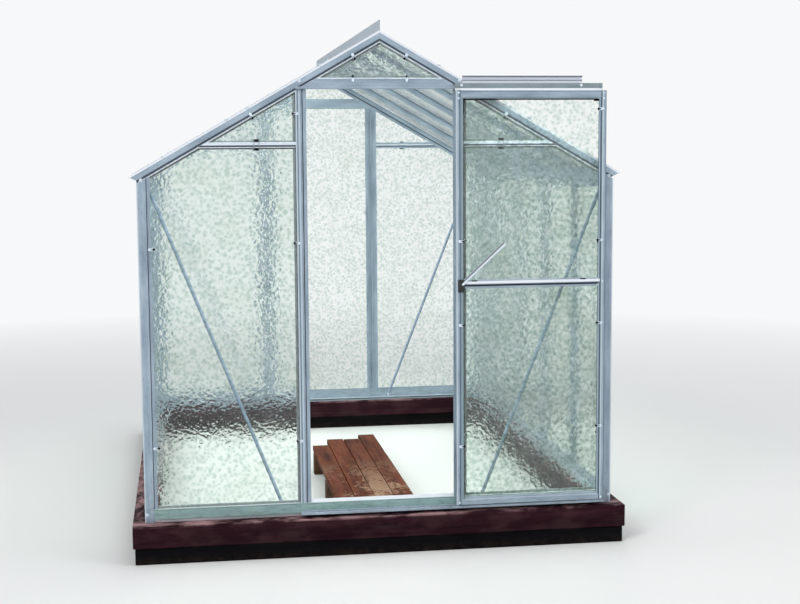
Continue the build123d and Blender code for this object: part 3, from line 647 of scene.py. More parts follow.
def wire_clip_tree():
    """Spring wire clips: a closed wire loop swept to its diameter, on every place."""
    tree, given, end = new_tree(
        "wire_clips",
        [("Loop", "NodeSocketObject"), ("Wire Diameter", FLOAT), ("Finish", "NodeSocketMaterial")],
    )
    loop = make(tree, "GeometryNodeObjectInfo", {"Object": given["Loop"]}).outputs["Geometry"]
    ring = wire_section(tree, times(tree, given["Wire Diameter"], 0.5))
    wire = make(tree, "GeometryNodeCurveToMesh", {"Curve": loop, "Profile Curve": ring}).outputs[0]
    finish_tree(tree, at_places(tree, given["Geometry"], wire), given["Finish"], end)
    return tree


def bolt_tree():
    """Bolt heads: a washer, a head of any number of sides and its chamfered top, on every place."""
    tree, given, end = new_tree(
        "bolt_heads",
        [
            ("Head Radius", FLOAT),
            ("Head Height", FLOAT),
            ("Washer Radius", FLOAT),
            ("Sides", "NodeSocketInt"),
            ("Finish", "NodeSocketMaterial"),
        ],
    )

    def lifted(mesh, height):
        lift = make(tree, "ShaderNodeCombineXYZ", {"Z": height}).outputs[0]
        return make(tree, "GeometryNodeTransform", {"Geometry": mesh, "Translation": lift}).outputs[0]

    washer_height = times(tree, given["Head Height"], 0.22)
    sockets = {"Vertices": 20, "Radius": given["Washer Radius"], "Depth": washer_height}
    washer = make(tree, "GeometryNodeMeshCylinder", sockets).outputs[0]
    sockets = {"Vertices": given["Sides"], "Radius": given["Head Radius"], "Depth": given["Head Height"]}
    body = make(tree, "GeometryNodeMeshCylinder", sockets).outputs[0]
    sockets = {
        "Vertices": given["Sides"],
        "Radius Bottom": given["Head Radius"],
        "Radius Top": times(tree, given["Head Radius"], 0.82),
        "Depth": washer_height,
    }
    cap = make(tree, "GeometryNodeMeshCone", sockets).outputs[0]
    joined = make(tree, "GeometryNodeJoinGeometry")
    for mesh, height in (
        (washer, times(tree, washer_height, 0.5)),
        (body, times(tree, given["Head Height"], 0.5)),
        (cap, given["Head Height"]),
    ):
        tree.links.new(lifted(mesh, height), joined.inputs[0])
    finish_tree(tree, at_places(tree, given["Geometry"], joined.outputs[0]), given["Finish"], end)
    return tree


def seal_tree():
    """Glazing seal: a round bead along every edge of the outline."""
    tree, given, end = new_tree("glazing_seals", [("Bead Radius", FLOAT), ("Finish", "NodeSocketMaterial")])
    line = make(tree, "GeometryNodeMeshToCurve", {"Mesh": given["Geometry"]}).outputs[0]
    ring = wire_section(tree, given["Bead Radius"])
    sockets = {"Curve": line, "Profile Curve": ring, "Fill Caps": True}
    bead = make(tree, "GeometryNodeCurveToMesh", sockets).outputs[0]
    finish_tree(tree, bead, given["Finish"], end)
    return tree


def grown(host, tree, inputs):
    """Run a tree on the host's mesh and keep its result as a plain mesh."""
    modifier = host.modifiers.new(tree.name, "NODES")
    modifier.node_group = tree
    for item in tree.interface.items_tree:
        if item.in_out == "INPUT" and item.name in inputs:
            modifier[item.identifier] = inputs[item.name]
    graph = bpy.context.evaluated_depsgraph_get()
    result = bpy.data.meshes.new_from_object(host.evaluated_get(graph), depsgraph=graph)
    host.modifiers.clear()
    host.data = result
    result.name = host.name


# Meshes and pieces
def new_piece(name, mesh):
    piece = bpy.data.objects.new(name, mesh)
    bpy.context.collection.objects.link(piece)
    return piece


def keep(piece, body):
    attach(piece, body)


def facing(across, normal):
    """Turn that brings X to across and Z to the normal."""
    normal = Vector(normal).normalized()
    across = Vector(across).normalized()
    along = normal.cross(across)
    return Matrix((across, along, normal)).transposed().to_euler()


def places(name, spots):
    """Mesh of loose points, each with the turn of what stands on it."""
    mesh = bpy.data.meshes.new(name)
    mesh.from_pydata([point for point, _ in spots], [], [])
    turns = mesh.attributes.new("turn", "FLOAT_VECTOR", "POINT")
    turns.data.foreach_set("vector", [value for _, turn in spots for value in turn])
    return new_piece(name, mesh)


def lines(name, runs):
    """Mesh of separate edges."""
    mesh = bpy.data.meshes.new(name)
    corners = [tuple(point) for run in runs for point in run]
    mesh.from_pydata(corners, [(k, k + 1) for k in range(0, len(corners), 2)], [])
    return new_piece(name, mesh)


def clip_loop(name, profile, width):
    """Closed wire loop whose two sides follow a profile of (across, outward) points."""
    curve = bpy.data.curves.new(name, "CURVE")
    curve.dimensions = "3D"
    curve.resolution_u = 3
    spline = curve.splines.new("NURBS")
    path = [(x, -width / 2, z) for x, z in profile] + [(x, width / 2, z) for x, z in reversed(profile)]
    spline.points.add(len(path) - 1)
    for point, place in zip(spline.points, path):
        point.co = (*place, 1.0)
    spline.use_cyclic_u = True
    spline.order_u = 3
    return new_piece(name, curve)


def node_copy(node_name):
    """Copy of a CAD node's mesh with its loose triangles joined."""
    shape = bmesh.new()
    shape.from_mesh(nodes[node_name].data)
    bmesh.ops.remove_doubles(shape, verts=shape.verts, dist=1e-5)
    return shape


def join_flat_faces(shape, use_verts):
    flat = [edge for edge in shape.edges if edge.calc_face_angle(pi) < 0.01]
    bmesh.ops.dissolve_edges(shape, edges=flat, use_verts=use_verts)


def replacement(name, shape, material, body, node_name):
    """Piece made from a node's changed copy, which replaces the node."""
    mesh = bpy.data.meshes.new(name)
    shape.to_mesh(mesh)
    shape.free()
    mesh.materials.append(material)
    piece = new_piece(name, mesh)
    keep(piece, body)
    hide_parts(node_name)
    return piece


def trimmed_stile(node_name, name, side_cut, kept_side, material):
    """Door stile whose glazing lip is cut back to its narrow edge."""
    shape = node_copy(node_name)
    geometry = shape.verts[:] + shape.edges[:] + shape.faces[:]
    cut = bmesh.ops.bisect_plane(
        shape, geom=geometry, plane_co=(side_cut, 0, 0), plane_no=(kept_side, 0, 0), clear_outer=True
    )
    rim = [item for item in cut["geom_cut"] if isinstance(item, bmesh.types.BMEdge)]
    bmesh.ops.holes_fill(shape, edges=rim)
    bmesh.ops.recalc_face_normals(shape, faces=shape.faces[:])
    replacement(name, shape, material, "door", node_name)


# Timber: softened edges and a little wander, on top of the CAD solids
timber_rounding = 0.003
timber_step = 0.06
timber_wander = 0.0014
timber_seed = 3.7


def wander_at(point):
    """How far the timber's face lies inside the solid at a point, as a share of the wander."""
    coarse = noise.noise(point * 9 + Vector((timber_seed, 0, 0)))
    fine = noise.noise(point * 31 + Vector((0, timber_seed, 0)))
    return 0.5 + 0.5 * (coarse + 0.5 * fine)


def weathered_timber(node_name, material):
    """Timber with rounded edges and a slightly uneven face."""
    shape = node_copy(node_name)
    join_flat_faces(shape, use_verts=True)
    bmesh.ops.bevel(
        shape,
        geom=shape.edges[:],
        offset=timber_rounding,
        segments=3,
        profile=0.5,
        affect="EDGES",
        clamp_overlap=True,
    )
    low, high = (Vector(corner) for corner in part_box(node_name))
    span = high - low
    long_axis = max(range(3), key=lambda k: span[k])
    cuts = int(span[long_axis] / timber_step)
    plane = Vector((0, 0, 0))
    plane[long_axis] = 1
    for cut in range(1, cuts):
        place = Vector((0, 0, 0))
        place[long_axis] = low[long_axis] + span[long_axis] * cut / cuts
        geometry = shape.verts[:] + shape.edges[:] + shape.faces[:]
        bmesh.ops.bisect_plane(shape, geom=geometry, plane_co=place, plane_no=plane)
    shape.normal_update()
    for vert in shape.verts:
        vert.co -= vert.normal * timber_wander * wander_at(vert.co)
    for face in shape.faces:
        face.smooth = True
    piece = replacement("weathered_" + node_name, shape, material, "greenhouse", node_name)
    piece.modifiers.new("weighted", "WEIGHTED_NORMAL").keep_sharp = True


def pane_edges(names, normal, lift, inset):
    """Top, upright and bottom edges of the outer faces of glass nodes, moved outward and in over the pane."""
    normal = Vector(normal).normalized()
    upper, upright, lower = [], [], []
    for name in names:
        shape = node_copy(name)
        join_flat_faces(shape, use_verts=False)
        shape.normal_update()
        for face in shape.faces:
            if face.normal.dot(normal) < 0.99:
                continue
            centre = face.calc_center_median()
            for edge in face.edges:
                start, finish = (vert.co for vert in edge.verts)
                middle = (start + finish) / 2
                run = (finish - start).normalized()
                inward = centre - middle
                inward = (inward - run * inward.dot(run)).normalized()
                shift = normal * lift + inward * inset
                kind = upright if abs(run.z) > 0.9 else upper if middle.z > centre.z else lower
                kind.append((start + shift, finish + shift))
        shape.free()
    return upper, upright, lower


# Wire clips: their sizes, and where they sit as heights or as distances from the middle, in metres
wire_diameter = 0.0034
gable_drop = glass_front - front_face
door_drop = door_glass_face - door_face
rib_drop = wall_face - wall_glass_face
roof_lip_drop = 0.0018
roof_drop = roof_rib + roof_lip_drop
half_rail = 0.007
half_rib = 0.0022
narrow_clip = 0.0075
rib_clip = 0.012
rail_clip = 0.021
foot_reach = 0.0095
button_reach = -0.0065
button_lift = 0.0010
rail_foot_reach = 0.0175
rail_pad_spacing = 0.0070
post_clip_heights = (0.463, 1.259)
upright_clip_heights = (0.472, 1.275, 1.788)
rafter_clip_reaches = (0.105, 0.512)
header_clip_reach = 0.108
header_clip_lift = 0.002
rail_clip_reach = 0.494
wall_clip_heights = (0.40, 0.86, 1.32)
roof_clip_reaches = (0.16, 0.50, 0.84)
rafter_top_reaches = (0.24, 0.53, 0.61, 0.86)
left_stile_heights = (0.432, 0.932, 1.273)
right_stile_heights = (0.498, 0.929, 1.271, 1.803)


def edge_profile(drop):
    """Wire over the edge of a bar and down onto the glass; the glass is towards plus."""
    over_bar = [(-0.012, wire_diameter / 2), (-0.005, wire_diameter), (0.001, wire_diameter * 0.9)]
    return over_bar + [(0.004, -drop * 0.5), (0.010, wire_diameter / 2 - drop)]


def bridge_profile(half_bar, drop):
    """Wire from the glass on one side of a bar to the glass on the other."""
    foot = (half_bar + 0.011, wire_diameter / 2 - drop)
    bend = (half_bar + 0.004, wire_diameter - drop * 0.6)
    half_way = [foot, bend, (half_bar - 0.001, wire_diameter)]
    return [(-x, z) for x, z in half_way] + [(x, z) for x, z in reversed(half_way)]


def roof_normal(side):
    return side * sin(roof_pitch), 0, cos(roof_pitch)


def gable_edge_spots(outward, upright_edges):
    """Clips along posts, uprights, rafters and header of one gable; outward is -1 in front and 1 behind."""
    face = outward * face_reach
    normal = (0, outward, 0)
    spots = []
    for side in sides:
        strip_place = (side * (post_inner - strip_width), face - outward * strip_step)
        inward = facing((-side, 0, 0), normal)
        spots += [((*strip_place, height), inward) for height in post_clip_heights]
        for edge, towards in upright_edges:
            turn = facing((side * towards, 0, 0), normal)
            spots += [((side * edge, face, height), turn) for height in upright_clip_heights]
        down = facing((-side * sin(roof_pitch), 0, -cos(roof_pitch)), normal)
        for reach in rafter_clip_reaches:
            spots.append(((side * reach, face, roof_line(reach, -rafter_face)), down))
        header_face_y = face + outward * header_clip_lift
        spots.append(((side * header_clip_reach, header_face_y, header_top), facing((0, 0, 1), normal)))
    return spots


def gable_rail_spots(outward):
    """Clips over the side rails of one gable."""
    rail_middle = (rail_low.z + rail_high.z) / 2
    turn = facing((0, 0, 1), (0, outward, 0))
    return [((side * rail_clip_reach, outward * face_reach, rail_middle), turn) for side in sides]


def wall_spots():
    """Clips over the ribs of the side walls."""
    return [
        ((side * wall_face, line, height), facing((0, side, 0), (side, 0, 0)))
        for side in sides
        for line in bar_lines
        for height in wall_clip_heights
    ]


def roof_spots():
    """Clips over the ribs of the roof."""
    return [
        ((side * reach, line, roof_line(reach, roof_rib)), facing((0, side, 0), roof_normal(side)))
        for side in sides
        for line in bar_lines
        for reach in roof_clip_reaches
    ]


def rafter_top_spots():
    """Clips from the lip of each gable rafter down onto the roof glass beside it."""
    return [
        (
            (side * reach, outward * (face_reach - rafter_lip), roof_line(reach)),
            facing((0, -outward, 0), roof_normal(side)),
        )
        for side in sides
        for outward in (-1, 1)
        for reach in rafter_top_reaches
    ]


def door_spots():
    """Clips on the door's stiles."""
    return [
        ((edge, door_face, height), facing((towards, 0, 0), (0, -1, 0)))
        for edge, towards, heights in (
            (door_left + stile_box, 1, left_stile_heights),
            (door_right - stile_box, -1, right_stile_heights),
        )
        for height in heights
    ]


def pad_spots(spots, reach, drop, both_ends=False, beside=(0.0,)):
    """Places of the small pads where clips press on the glass, side by side under a wide clip."""
    pads = []
    for point, turn in spots:
        across, along, normal = (Vector(column) for column in turn.to_matrix().transposed())
        for end in (1, -1) if both_ends else (1,):
            for offset in beside:
                place = Vector(point) + across * reach * end + along * offset - normal * drop
                pads.append((tuple(place), turn))
    return pads


# Gaskets, seals and beads: their steps, lifts and runs, in metres
gasket_slot = 0.015
gasket_step = 0.0022
groove_step = 0.0012
post_gap = 0.0006
bead_lift = 0.0008
bead_inset = 0.0010
seal_lift = 0.0003
seal_inset = 0.0004
foot_beads_from = 1.0
slot_run = 0.022
slot_inset_left, slot_inset_right = 0.034, 0.074
corner_run_across, corner_run_down = 0.022, 0.062


def upright_gasket_runs():
    """Dark gaskets beside the corner posts and in the uprights' slots, also standing for the shade in these
    gaps.
    """
    post_top = roof_line(post_inner, -rafter_face)
    runs = []
    for outward, upright_edge in ((-1, jamb_inner), (1, mullion_inner)):
        for side in sides:
            for x, step, top in (
                (side * (post_inner - post_gap), gasket_step, post_top),
                (side * (upright_edge + gasket_slot), groove_step, header_foot),
            ):
                y = outward * (face_reach - step)
                runs.append(((x, y, glass_foot), (x, y, top)))
    return runs


def door_gasket_runs():
    """Gaskets round the door's panes: thick ones under the rails, then thin ones."""
    face = door_glass_face - 0.0006
    lip_face = door_face + lip_step - 0.0008
    left = door_left + stile_seen
    right = door_right - stile_seen
    top = top_rail_low.z
    under_top = top - 0.0030
    under_box = mid_box_low - 0.0022
    corner = top - 0.0080
    slot_height = mid_box_low + mid_box_height + 0.0016
    thick = [
        ((left, face, under_top), (right, face, under_top)),
        ((left, lip_face, under_box), (right, lip_face, under_box)),
        ((left + 0.0022, face, top - corner_run_down), (left + 0.0022, face, top)),
        ((right - corner_run_across, face, corner), (right, face, corner)),
    ]
    # Dark rubber dashes on the mid rail, standing for the shade inside its slots
    for x in (left + slot_inset_left, right - slot_inset_right):
        thick.append(((x, lip_face, slot_height), (x + slot_run, lip_face, slot_height)))
    thin = [
        ((x, face, low), (x, face, high))
        for low, high in ((bottom_rail_top, mid_rail_low.z), (mid_rail_high.z, top))
        for x in (left + 0.0004, right - 0.0004)
    ]
    return thick, thin


# Bolts and screws: where they sit, in metres
gable_bolt_places = ((0.957, 0.194), (0.322, 1.917), (0.9465, 1.532))
bar_bolt_heights = (0.236, 1.470)
bar_bolt_reaches = (0.075, 0.915)
bar_spine = 0.010
roof_spine = 0.018
spine_face = 0.0008
stile_bolt_inset = 0.011
left_stile_bolts = (1.868, 1.846, 0.196)
right_stile_bolts = (1.866, 1.846, 0.196, 1.1015)
bearer_lines = (-1.110, -0.490, 0.110)
board_screw_offsets = (0.02, 0.065)
screw_sink = 0.0012
inner_bolt_gap = 0.002


def frame_bolt_spots():
    """Bolt heads at the joints of the frame, outside and inside."""
    spots = []
    for outward in (-1, 1):
        inside = outward * (face_reach - section_depth) - outward * inner_bolt_gap
        outer_turn = facing((1, 0, 0), (0, outward, 0))
        inner_turn = facing((1, 0, 0), (0, -outward, 0))
        for side in sides:
            spots += [((side * x, outward * face_reach, z), outer_turn) for x, z in gable_bolt_places]
            spots += [((side * end.x, inside, end.z), inner_turn) for end in (brace_top, brace_foot)]
    along = facing((1, 0, 0), (0, 1, 0))
    for side in sides:
        spine = side * (wall_face - section_depth - bar_spine)
        for line in bar_lines:
            face = line + spine_face
            spots += [((spine, face, height), along) for height in bar_bolt_heights]
            for reach in bar_bolt_reaches:
                spots.append(((side * reach, face, roof_line(reach, -roof_spine)), along))
    return spots


def door_bolt_spots():
    """Bolt heads up the door's stiles."""
    turn = facing((1, 0, 0), (0, -1, 0))
    left = [((door_left + stile_bolt_inset, door_face, height), turn) for height in left_stile_bolts]
    right = [((door_right - stile_bolt_inset, door_face, height), turn) for height in right_stile_bolts]
    return left + right


def board_screw_spots():
    """Screws through each walkway board into the bearers."""
    low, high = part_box("walkway_boards")
    pitch = (high.x - low.x + board_gap) / board_count
    return [
        ((low.x + board * pitch + offset, bearer, high.z - screw_sink), facing((1, 0, 0), (0, 0, 1)))
        for board in range(board_count)
        for bearer in bearer_lines
        for offset in board_screw_offsets
    ]


# Studio
floor_reach = 40.0
backdrop = (0.93, 0.94, 0.95, 1)
lamp_target = Vector((0, 0, 1.0))
lamps = (
    ("key_lamp", (-4.5, -6.5, 6.0), 370, 3.5),
    ("fill_lamp", (5.5, -4.5, 3.5), 130, 3.0),
    ("back_lamp", (2.0, 6.5, 5.5), 130, 3.0),
    ("overhead_lamp", (0.5, -0.8, 7.5), 120, 4.0),
)


def seen_rays(tree):
    """Mask of the rays that show the surroundings: straight, in metal and through glass."""
    path = make(tree, "ShaderNodeLightPath").outputs
    in_gloss_or_glass = maths(tree, "MAXIMUM", path["Is Glossy Ray"], path["Is Transmission Ray"])
    return maths(tree, "MAXIMUM", path["Is Camera Ray"], in_gloss_or_glass)


def studio_floor():
    """Pale floor that fades into the white surroundings."""
    mesh = bpy.data.meshes.new("studio_floor")
    corners = [(x * floor_reach, y * floor_reach, 0) for x, y in ((-1, -1), (1, -1), (1, 1), (-1, 1))]
    mesh.from_pydata(corners, [], [(0, 1, 2, 3)])
    floor = new_piece("studio_floor", mesh)
    material, tree, point = new_material("studio_floor")
    away = make(tree, "ShaderNodeVectorMath", {0: point}, operation="LENGTH").outputs["Value"]
    fade = times(tree, spread(tree, away, 2.6, 7.5), seen_rays(tree))
    matt = make(tree, "ShaderNodeBsdfDiffuse", {"Color": (0.80, 0.80, 0.79, 1)})
    white = make(tree, "ShaderNodeEmission", {"Color": backdrop, "Strength": 1.0})
    show_mixed(tree, fade, matt, white)
    mesh.materials.append(material)


def studio_world():
    """White surroundings, which light the object softly."""
    world = bpy.data.worlds.new("studio")
    world.use_nodes = True
    tree = world.node_tree
    tree.nodes.clear()
    soft = make(tree, "ShaderNodeBackground", {"Color": (0.92, 0.95, 1.0, 1), "Strength": 0.42})
    shown = make(tree, "ShaderNodeBackground", {"Color": backdrop, "Strength": 1.0})
    show_mixed(tree, seen_rays(tree), soft, shown, "ShaderNodeOutputWorld")
    bpy.context.scene.world = world
    bpy.context.scene.view_settings.view_transform = "Standard"


def studio_lamps():
    for name, place, power, size in lamps:
        data = bpy.data.lights.new(name, "AREA")
        data.energy = power
        data.size = size
        lamp = bpy.data.objects.new(name, data)
        bpy.context.collection.objects.link(lamp)
        lamp.location = place
        lamp.rotation_euler = (lamp_target - Vector(place)).to_track_quat("-Z", "Y").to_euler()


photo_camera()

# Turns that bring the run of a section to X
run_across = (0.0, 0.0, 0.0)
run_up = (0.0, pi / 2, 0.0)
run_back = (0.0, 0.0, pi / 2)
run_right_slope = (0.0, -roof_pitch, 0.0)
run_left_slope = (0.0, roof_pitch, 0.0)

# Painted highlights and painted shade drawn as lines on the sections, for their lit edges, ribs and grooves:
# where each starts and ends, and its colour
# Colours of the painted highlights: a bright one, and a softer one for the arrises
painted_highlight = (240, 244, 250)
painted_arris_light = (200, 212, 222)
overlap = 0.0005
# Side rails: a painted highlight on the box's upper part and painted shade on its lower part
side_rail_bands = (
    (rail_low.z + rail_lip + 0.0064, rail_high.z - rail_lip, (226, 234, 245)),
    (rail_low.z + rail_lip - overlap, rail_low.z + rail_lip + 0.0060, (30, 44, 60)),
)
# Door's mid rail: a painted highlight on its box and painted shade along the box's foot
mid_rail_bands = (
    (mid_box_low + 0.005, mid_box_low + mid_box_height, painted_highlight),
    (mid_box_low - 0.004, mid_box_low + 0.0025, (66, 80, 92)),
)
# Sill: painted highlights along its top and bottom edges
sill_bands = (
    (sill_high.z - 0.0035, sill_high.z + 0.001, painted_highlight),
    (sill_low.z, sill_low.z + 0.0035, (206, 214, 220)),
)
# Track: painted highlight stripes on its face, and a darker stripe along its top
track_bands = (
    (track_top - 0.030, track_top - 0.020, (228, 232, 240)),
    (track_top - 0.016, track_top - 0.004, (204, 207, 220)),
    (track_top - 0.004, track_top + 0.001, (108, 120, 128)),
)
# Posts and jambs: painted highlights on the outer arrises, and on the jambs a painted shade groove line
# beside a lighter rib
upright_light_and_shade = (
    (wall_face - 0.0042, wall_face + overlap, painted_arris_light),
    (jamb_outer - 0.0042, jamb_outer + overlap, painted_arris_light),
    (jamb_outer - 0.0100, jamb_outer - 0.0066, (86, 104, 120)),
    (jamb_outer - 0.0185, jamb_outer - 0.0110, (186, 200, 212)),
)
# Door stiles: painted highlights on the arrises, painted shade beside the box, and on the left stile the lip
# painted dimmer as in the box's shadow
left_stile_light_and_shade = (
    (door_left - overlap, door_left + 0.0056, (190, 204, 214)),
    (door_left + 0.0132, door_left + 0.0182, (50, 72, 88)),
    (door_left + 0.0182, door_left + 0.0222, (132, 152, 164)),
    (door_left + 0.0222, door_left + stile_seen + 0.001, (136, 158, 166)),
)
right_stile_light_and_shade = (
    (door_right - stile_seen - 0.001, door_right - 0.0250, (162, 182, 194)),
    (door_right - 0.0238, door_right - 0.0172, (48, 68, 84)),
    (door_right - 0.0168, door_right - 0.0118, (190, 206, 212)),
    (door_right - 0.0026, door_right + overlap, (86, 102, 116)),
)
# Braces: a painted highlight along one side and painted shade along the other
brace_light_and_shade = ((-0.0064, -0.0028, (164, 176, 200)), (0.0040, 0.0080, (80, 96, 116)))

# Materials that more than one piece uses
bead_finish = plated_steel("bead_finish", (234, 243, 248), (206, 218, 228), 0.4, 0.15)
stile_left_finish = aluminium("stile_left_finish", run_up, uprights=left_stile_light_and_shade)
stile_right_finish = aluminium("stile_right_finish", run_up, uprights=right_stile_light_and_shade)
# Stained and tarred: dark, light and worn colour, the height worn bare, how far from it, and the least wear
stain = ((24, 8, 14), (50, 23, 32), (166, 130, 132), 0.160, 0.011, 0.04)
stained_across = timber("stained_timber_across", run_across, *stain)
stained_back = timber("stained_timber_back", run_back, *stain)
tar = ((4, 4, 6), (11, 10, 13), (24, 21, 22), 0.066, 0.01, 0.1)
tarred_across = timber("tarred_timber_across", run_across, *tar)
tarred_back = timber("tarred_timber_back", run_back, *tar)
boards = walkway_timber("walkway_boards", run_back)
bearers = timber("bearer_timber", run_across, (60, 44, 34), (98, 76, 58), (120, 100, 80), 0.104, 0.01, 0.2)
seal_rubber = moulded("seal_rubber", (9, 11, 15), (30, 33, 37), 0.7, 800, 0.1)
spring_wire = plated_steel("spring_wire", (224, 236, 246), (178, 192, 206), 0.25, 0.3)
rail_wire = plated_steel("rail_wire", (168, 180, 192), (104, 116, 128), 0.35, 0.3)
old_screw = plated_steel("old_screw", (104, 84, 72), (66, 48, 40), 0.6, 0.2)
bolt_steel = plated_steel("bolt_steel", (216, 228, 238), (170, 182, 194), 0.3, 0.4)

# Finishes of the CAD nodes that stay
finish_nodes(
    aluminium("aluminium_across", run_across),
    "sill_back", "front_header", "back_header", "bottom_guide", "door_bottom_rail",
)
finish_nodes(aluminium("aluminium_up", run_up), "back_mullions", "wall_bars_left", "wall_bars_right")
finish_nodes(
    aluminium("aluminium_back", run_back),
    "side_sills", "ridge_bar", "eave_beam_left", "eave_beam_right",
)
finish_nodes(aluminium("aluminium_right_slope", run_right_slope), "roof_bars_right")
finish_nodes(aluminium("aluminium_left_slope", run_left_slope), "roof_bars_left")
finish_nodes(aluminium("rafter_right_finish", run_right_slope, top_edge=True), "gable_rafters_right")
finish_nodes(aluminium("rafter_left_finish", run_left_slope, top_edge=True), "gable_rafters_left")
finish_nodes(
    aluminium("side_rail_finish", run_across, bands=side_rail_bands),
    "front_side_rails", "back_side_rails",
)
finish_nodes(
    aluminium("upright_finish", run_up, uprights=upright_light_and_shade),
    "front_corner_posts", "back_corner_posts", "door_jamb_left", "door_jamb_right",
)
finish_nodes(
    aluminium(
        "brace_finish",
        run_up,
        brace_lines=brace_light_and_shade,
        pale=(150, 168, 188),
        dull=(122, 142, 164),
        under_pane_colour=(132, 152, 174),
    ),
    "gable_braces",
)
finish_nodes(aluminium("mid_rail_finish", run_across, bands=mid_rail_bands), "door_mid_rail")
finish_nodes(aluminium("top_rail_finish", run_across), "door_top_rail")
# Hanger bar: a darker tone as painted shade under the track, with a painted highlight just above the door's
# top rail
finish_nodes(
    aluminium(
        "hanger_finish",
        run_across,
        bands=((top_rail_high.z - 0.001, top_rail_high.z + 0.0085, painted_highlight),),
        pale=(146, 160, 166),
        dull=(112, 126, 132),
    ),
    "door_hanger_bar",
)
finish_nodes(
    aluminium("sill_finish", run_across, bands=sill_bands, pale=(154, 183, 180), dull=(120, 150, 149)),
    "sill_front",
)
finish_nodes(aluminium("track_finish", run_across, bands=track_bands), "door_track")
finish_nodes(
    hammered_glass("hammered_glass", 0.25),
    "wall_glass_left", "wall_glass_right", "front_glass_left", "front_glass_right", "front_apex_glass",
    "back_side_glass", "back_middle_glass", "door_glass",
)
finish_nodes(hammered_glass("roof_glass", 0.5), "roof_glass_left", "roof_glass_right")
finish_nodes(
    moulded("roller_nylon", (208, 214, 222), (160, 164, 170), 0.45, 700),
    "door_rollers", "door_glides",
)
finish_nodes(moulded("black_plastic", (18, 19, 22), (62, 62, 62), 0.55, 900), "latch_block")
finish_nodes(
    plated_steel("latch_steel", (230, 240, 248), (196, 208, 220), 0.3, 0.25, flange=True),
    "latch_arm",
)

# Pieces that replace CAD nodes
for timber_node, timber_material, timber_slot in (
    ("plinth_front_beam", stained_across, "stained_timber"),
    ("plinth_back_beam", stained_across, "stained_timber"),
    ("plinth_side_beams", stained_back, "stained_timber"),
    ("lower_course_ends", tarred_across, "tarred_timber"),
    ("lower_course_sides", tarred_back, "tarred_timber"),
    ("walkway_boards", boards, "walkway_timber"),
    ("walkway_bearers", bearers, "bearer_timber"),
):
    weathered_timber(timber_node, timber_material)
trimmed_stile("door_stile_left", "trimmed_stile_left", door_left + stile_seen, 1, stile_left_finish)
trimmed_stile("door_stile_right", "trimmed_stile_right", door_right - stile_seen, -1, stile_right_finish)

clips = wire_clip_tree()
bolts = bolt_tree()
seals = seal_tree()

# Clips
over_rail = bridge_profile(half_rail, gable_drop)
edge_spots = gable_edge_spots(-1, [(jamb_outer, 1)])
edge_spots += gable_edge_spots(1, [(mullion_inner, -1), (mullion_outer, 1)])
rail_spots = gable_rail_spots(-1) + gable_rail_spots(1)
lip_spots = rafter_top_spots()
stile_spots = door_spots()
for clip_name, clip_profile, clip_spots, clip_width, clip_body, clip_finish in (
    ("gable_edge_clips", edge_profile(gable_drop), edge_spots, narrow_clip, "greenhouse", spring_wire),
    ("gable_rail_clips", over_rail, rail_spots, rail_clip, "greenhouse", rail_wire),
    ("wall_clips", bridge_profile(half_rib, rib_drop), wall_spots(), rib_clip, "greenhouse", spring_wire),
    ("roof_clips", bridge_profile(half_rib, roof_drop), roof_spots(), rib_clip, "greenhouse", spring_wire),
    ("rafter_top_clips", edge_profile(roof_lip_drop), lip_spots, narrow_clip, "greenhouse", spring_wire),
    ("door_clips", edge_profile(door_drop), stile_spots, narrow_clip, "door", spring_wire),
):
    loop = clip_loop(clip_name + "_loop", clip_profile, clip_width)
    host = places(clip_name, clip_spots)
    grown(host, clips, {"Loop": loop, "Wire Diameter": wire_diameter, "Finish": clip_finish})
    bpy.data.objects.remove(loop)
    keep(host, clip_body)


def bolt_heads(name, spots, body, slot_name, finish, radius, height, washer, head_sides):
    """Bolt heads, buttons or pads on their spots."""
    host = places(name, spots)
    inputs = {
        "Head Radius": radius,
        "Head Height": height,
        "Washer Radius": washer,
        "Sides": head_sides,
        "Finish": finish,
    }
    grown(host, bolts, inputs)
    keep(host, body)


# Bolts, and the bright round buttons on the clips, which stand for the glint on their wire as a painted
# highlight: last come head radius, head height, washer radius and sides
gable_buttons = pad_spots(edge_spots, button_reach, -button_lift)
door_buttons = pad_spots(stile_spots, button_reach, -button_lift)
for bolt_name, bolt_spots, bolt_body, bolt_finish, *bolt_sizes in (
    ("frame_bolts", frame_bolt_spots(), "greenhouse", bolt_steel, 0.0055, 0.0035, 0.0072, 6),
    ("door_bolts", door_bolt_spots(), "door", bolt_steel, 0.0042, 0.0024, 0.0048, 12),
    ("gable_clip_buttons", gable_buttons, "greenhouse", spring_wire, 0.0056, 0.0028, 0.0062, 14),
    ("door_clip_buttons", door_buttons, "door", spring_wire, 0.0054, 0.0028, 0.0060, 14),
    ("board_screws", board_screw_spots(), "greenhouse", old_screw, 0.0036, 0.0014, 0.0038, 12),
):
    bolt_heads(bolt_name, bolt_spots, bolt_body, "latch_metal", bolt_finish, *bolt_sizes)

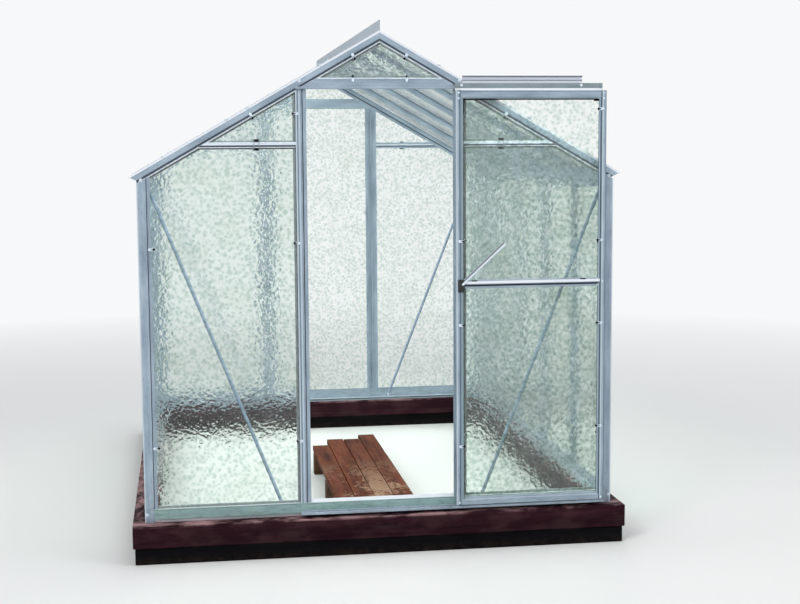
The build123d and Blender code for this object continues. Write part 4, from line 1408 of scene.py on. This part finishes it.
# Beads, seals and gaskets
front_panes = ["front_glass_left", "front_glass_right", "front_apex_glass"]
back_panes = ["back_side_glass", "back_middle_glass"]
front_top, front_upright, front_foot = pane_edges(front_panes, (0, -1, 0), bead_lift, bead_inset)
back_top, back_upright, back_foot = pane_edges(back_panes, (0, 1, 0), bead_lift, bead_inset)
rail_feet = [run for run in front_foot + back_foot if run[0].z > foot_beads_from]
bay_edges = []
for pane_node, pane_normal in (
    ("wall_glass_right", (1, 0, 0)),
    ("wall_glass_left", (-1, 0, 0)),
    ("roof_glass_right", roof_normal(1)),
    ("roof_glass_left", roof_normal(-1)),
):
    for found_edges in pane_edges([pane_node], pane_normal, seal_lift, seal_inset):
        bay_edges += found_edges
door_thick, door_thin = door_gasket_runs()
for seal_name, seal_runs, bead, seal_finish, seal_body, seal_slot in (
    ("rafter_beads", front_top + back_top, 0.0030, bead_finish, "greenhouse", "frame_aluminium"),
    ("rail_beads", rail_feet, 0.0022, bead_finish, "greenhouse", "frame_aluminium"),
    ("gable_seals", front_upright + back_upright, 0.0008, seal_rubber, "greenhouse", "black_plastic"),
    ("bay_seals", bay_edges, 0.0012, seal_rubber, "greenhouse", "black_plastic"),
    ("upright_gaskets", upright_gasket_runs(), 0.0018, seal_rubber, "greenhouse", "black_plastic"),
    ("door_top_gaskets", door_thick, 0.0030, seal_rubber, "door", "black_plastic"),
    ("door_side_gaskets", door_thin, 0.0012, seal_rubber, "door", "black_plastic"),
):
    host = lines(seal_name, seal_runs)
    grown(host, seals, {"Bead Radius": bead, "Finish": seal_finish})
    keep(host, seal_body)

# Dark pads under the clips, which also stand for the clips' shadow on the glass
rail_pads = (-rail_pad_spacing, 0.0, rail_pad_spacing)
pad_sizes = (0.0050, 0.0030, 0.0054, 14)
gable_pads = pad_spots(edge_spots, foot_reach, gable_drop)
gable_pads += pad_spots(rail_spots, rail_foot_reach, gable_drop, both_ends=True, beside=rail_pads)
gable_pads += pad_spots(lip_spots, foot_reach, roof_lip_drop)
door_pads = pad_spots(stile_spots, foot_reach, door_drop)
for pad_name, pad_places, pad_body in (
    ("gable_clip_pads", gable_pads, "greenhouse"),
    ("door_clip_pads", door_pads, "door"),
):
    bolt_heads(pad_name, pad_places, pad_body, "black_plastic", seal_rubber, *pad_sizes)

studio_floor()
studio_world()
studio_lamps()
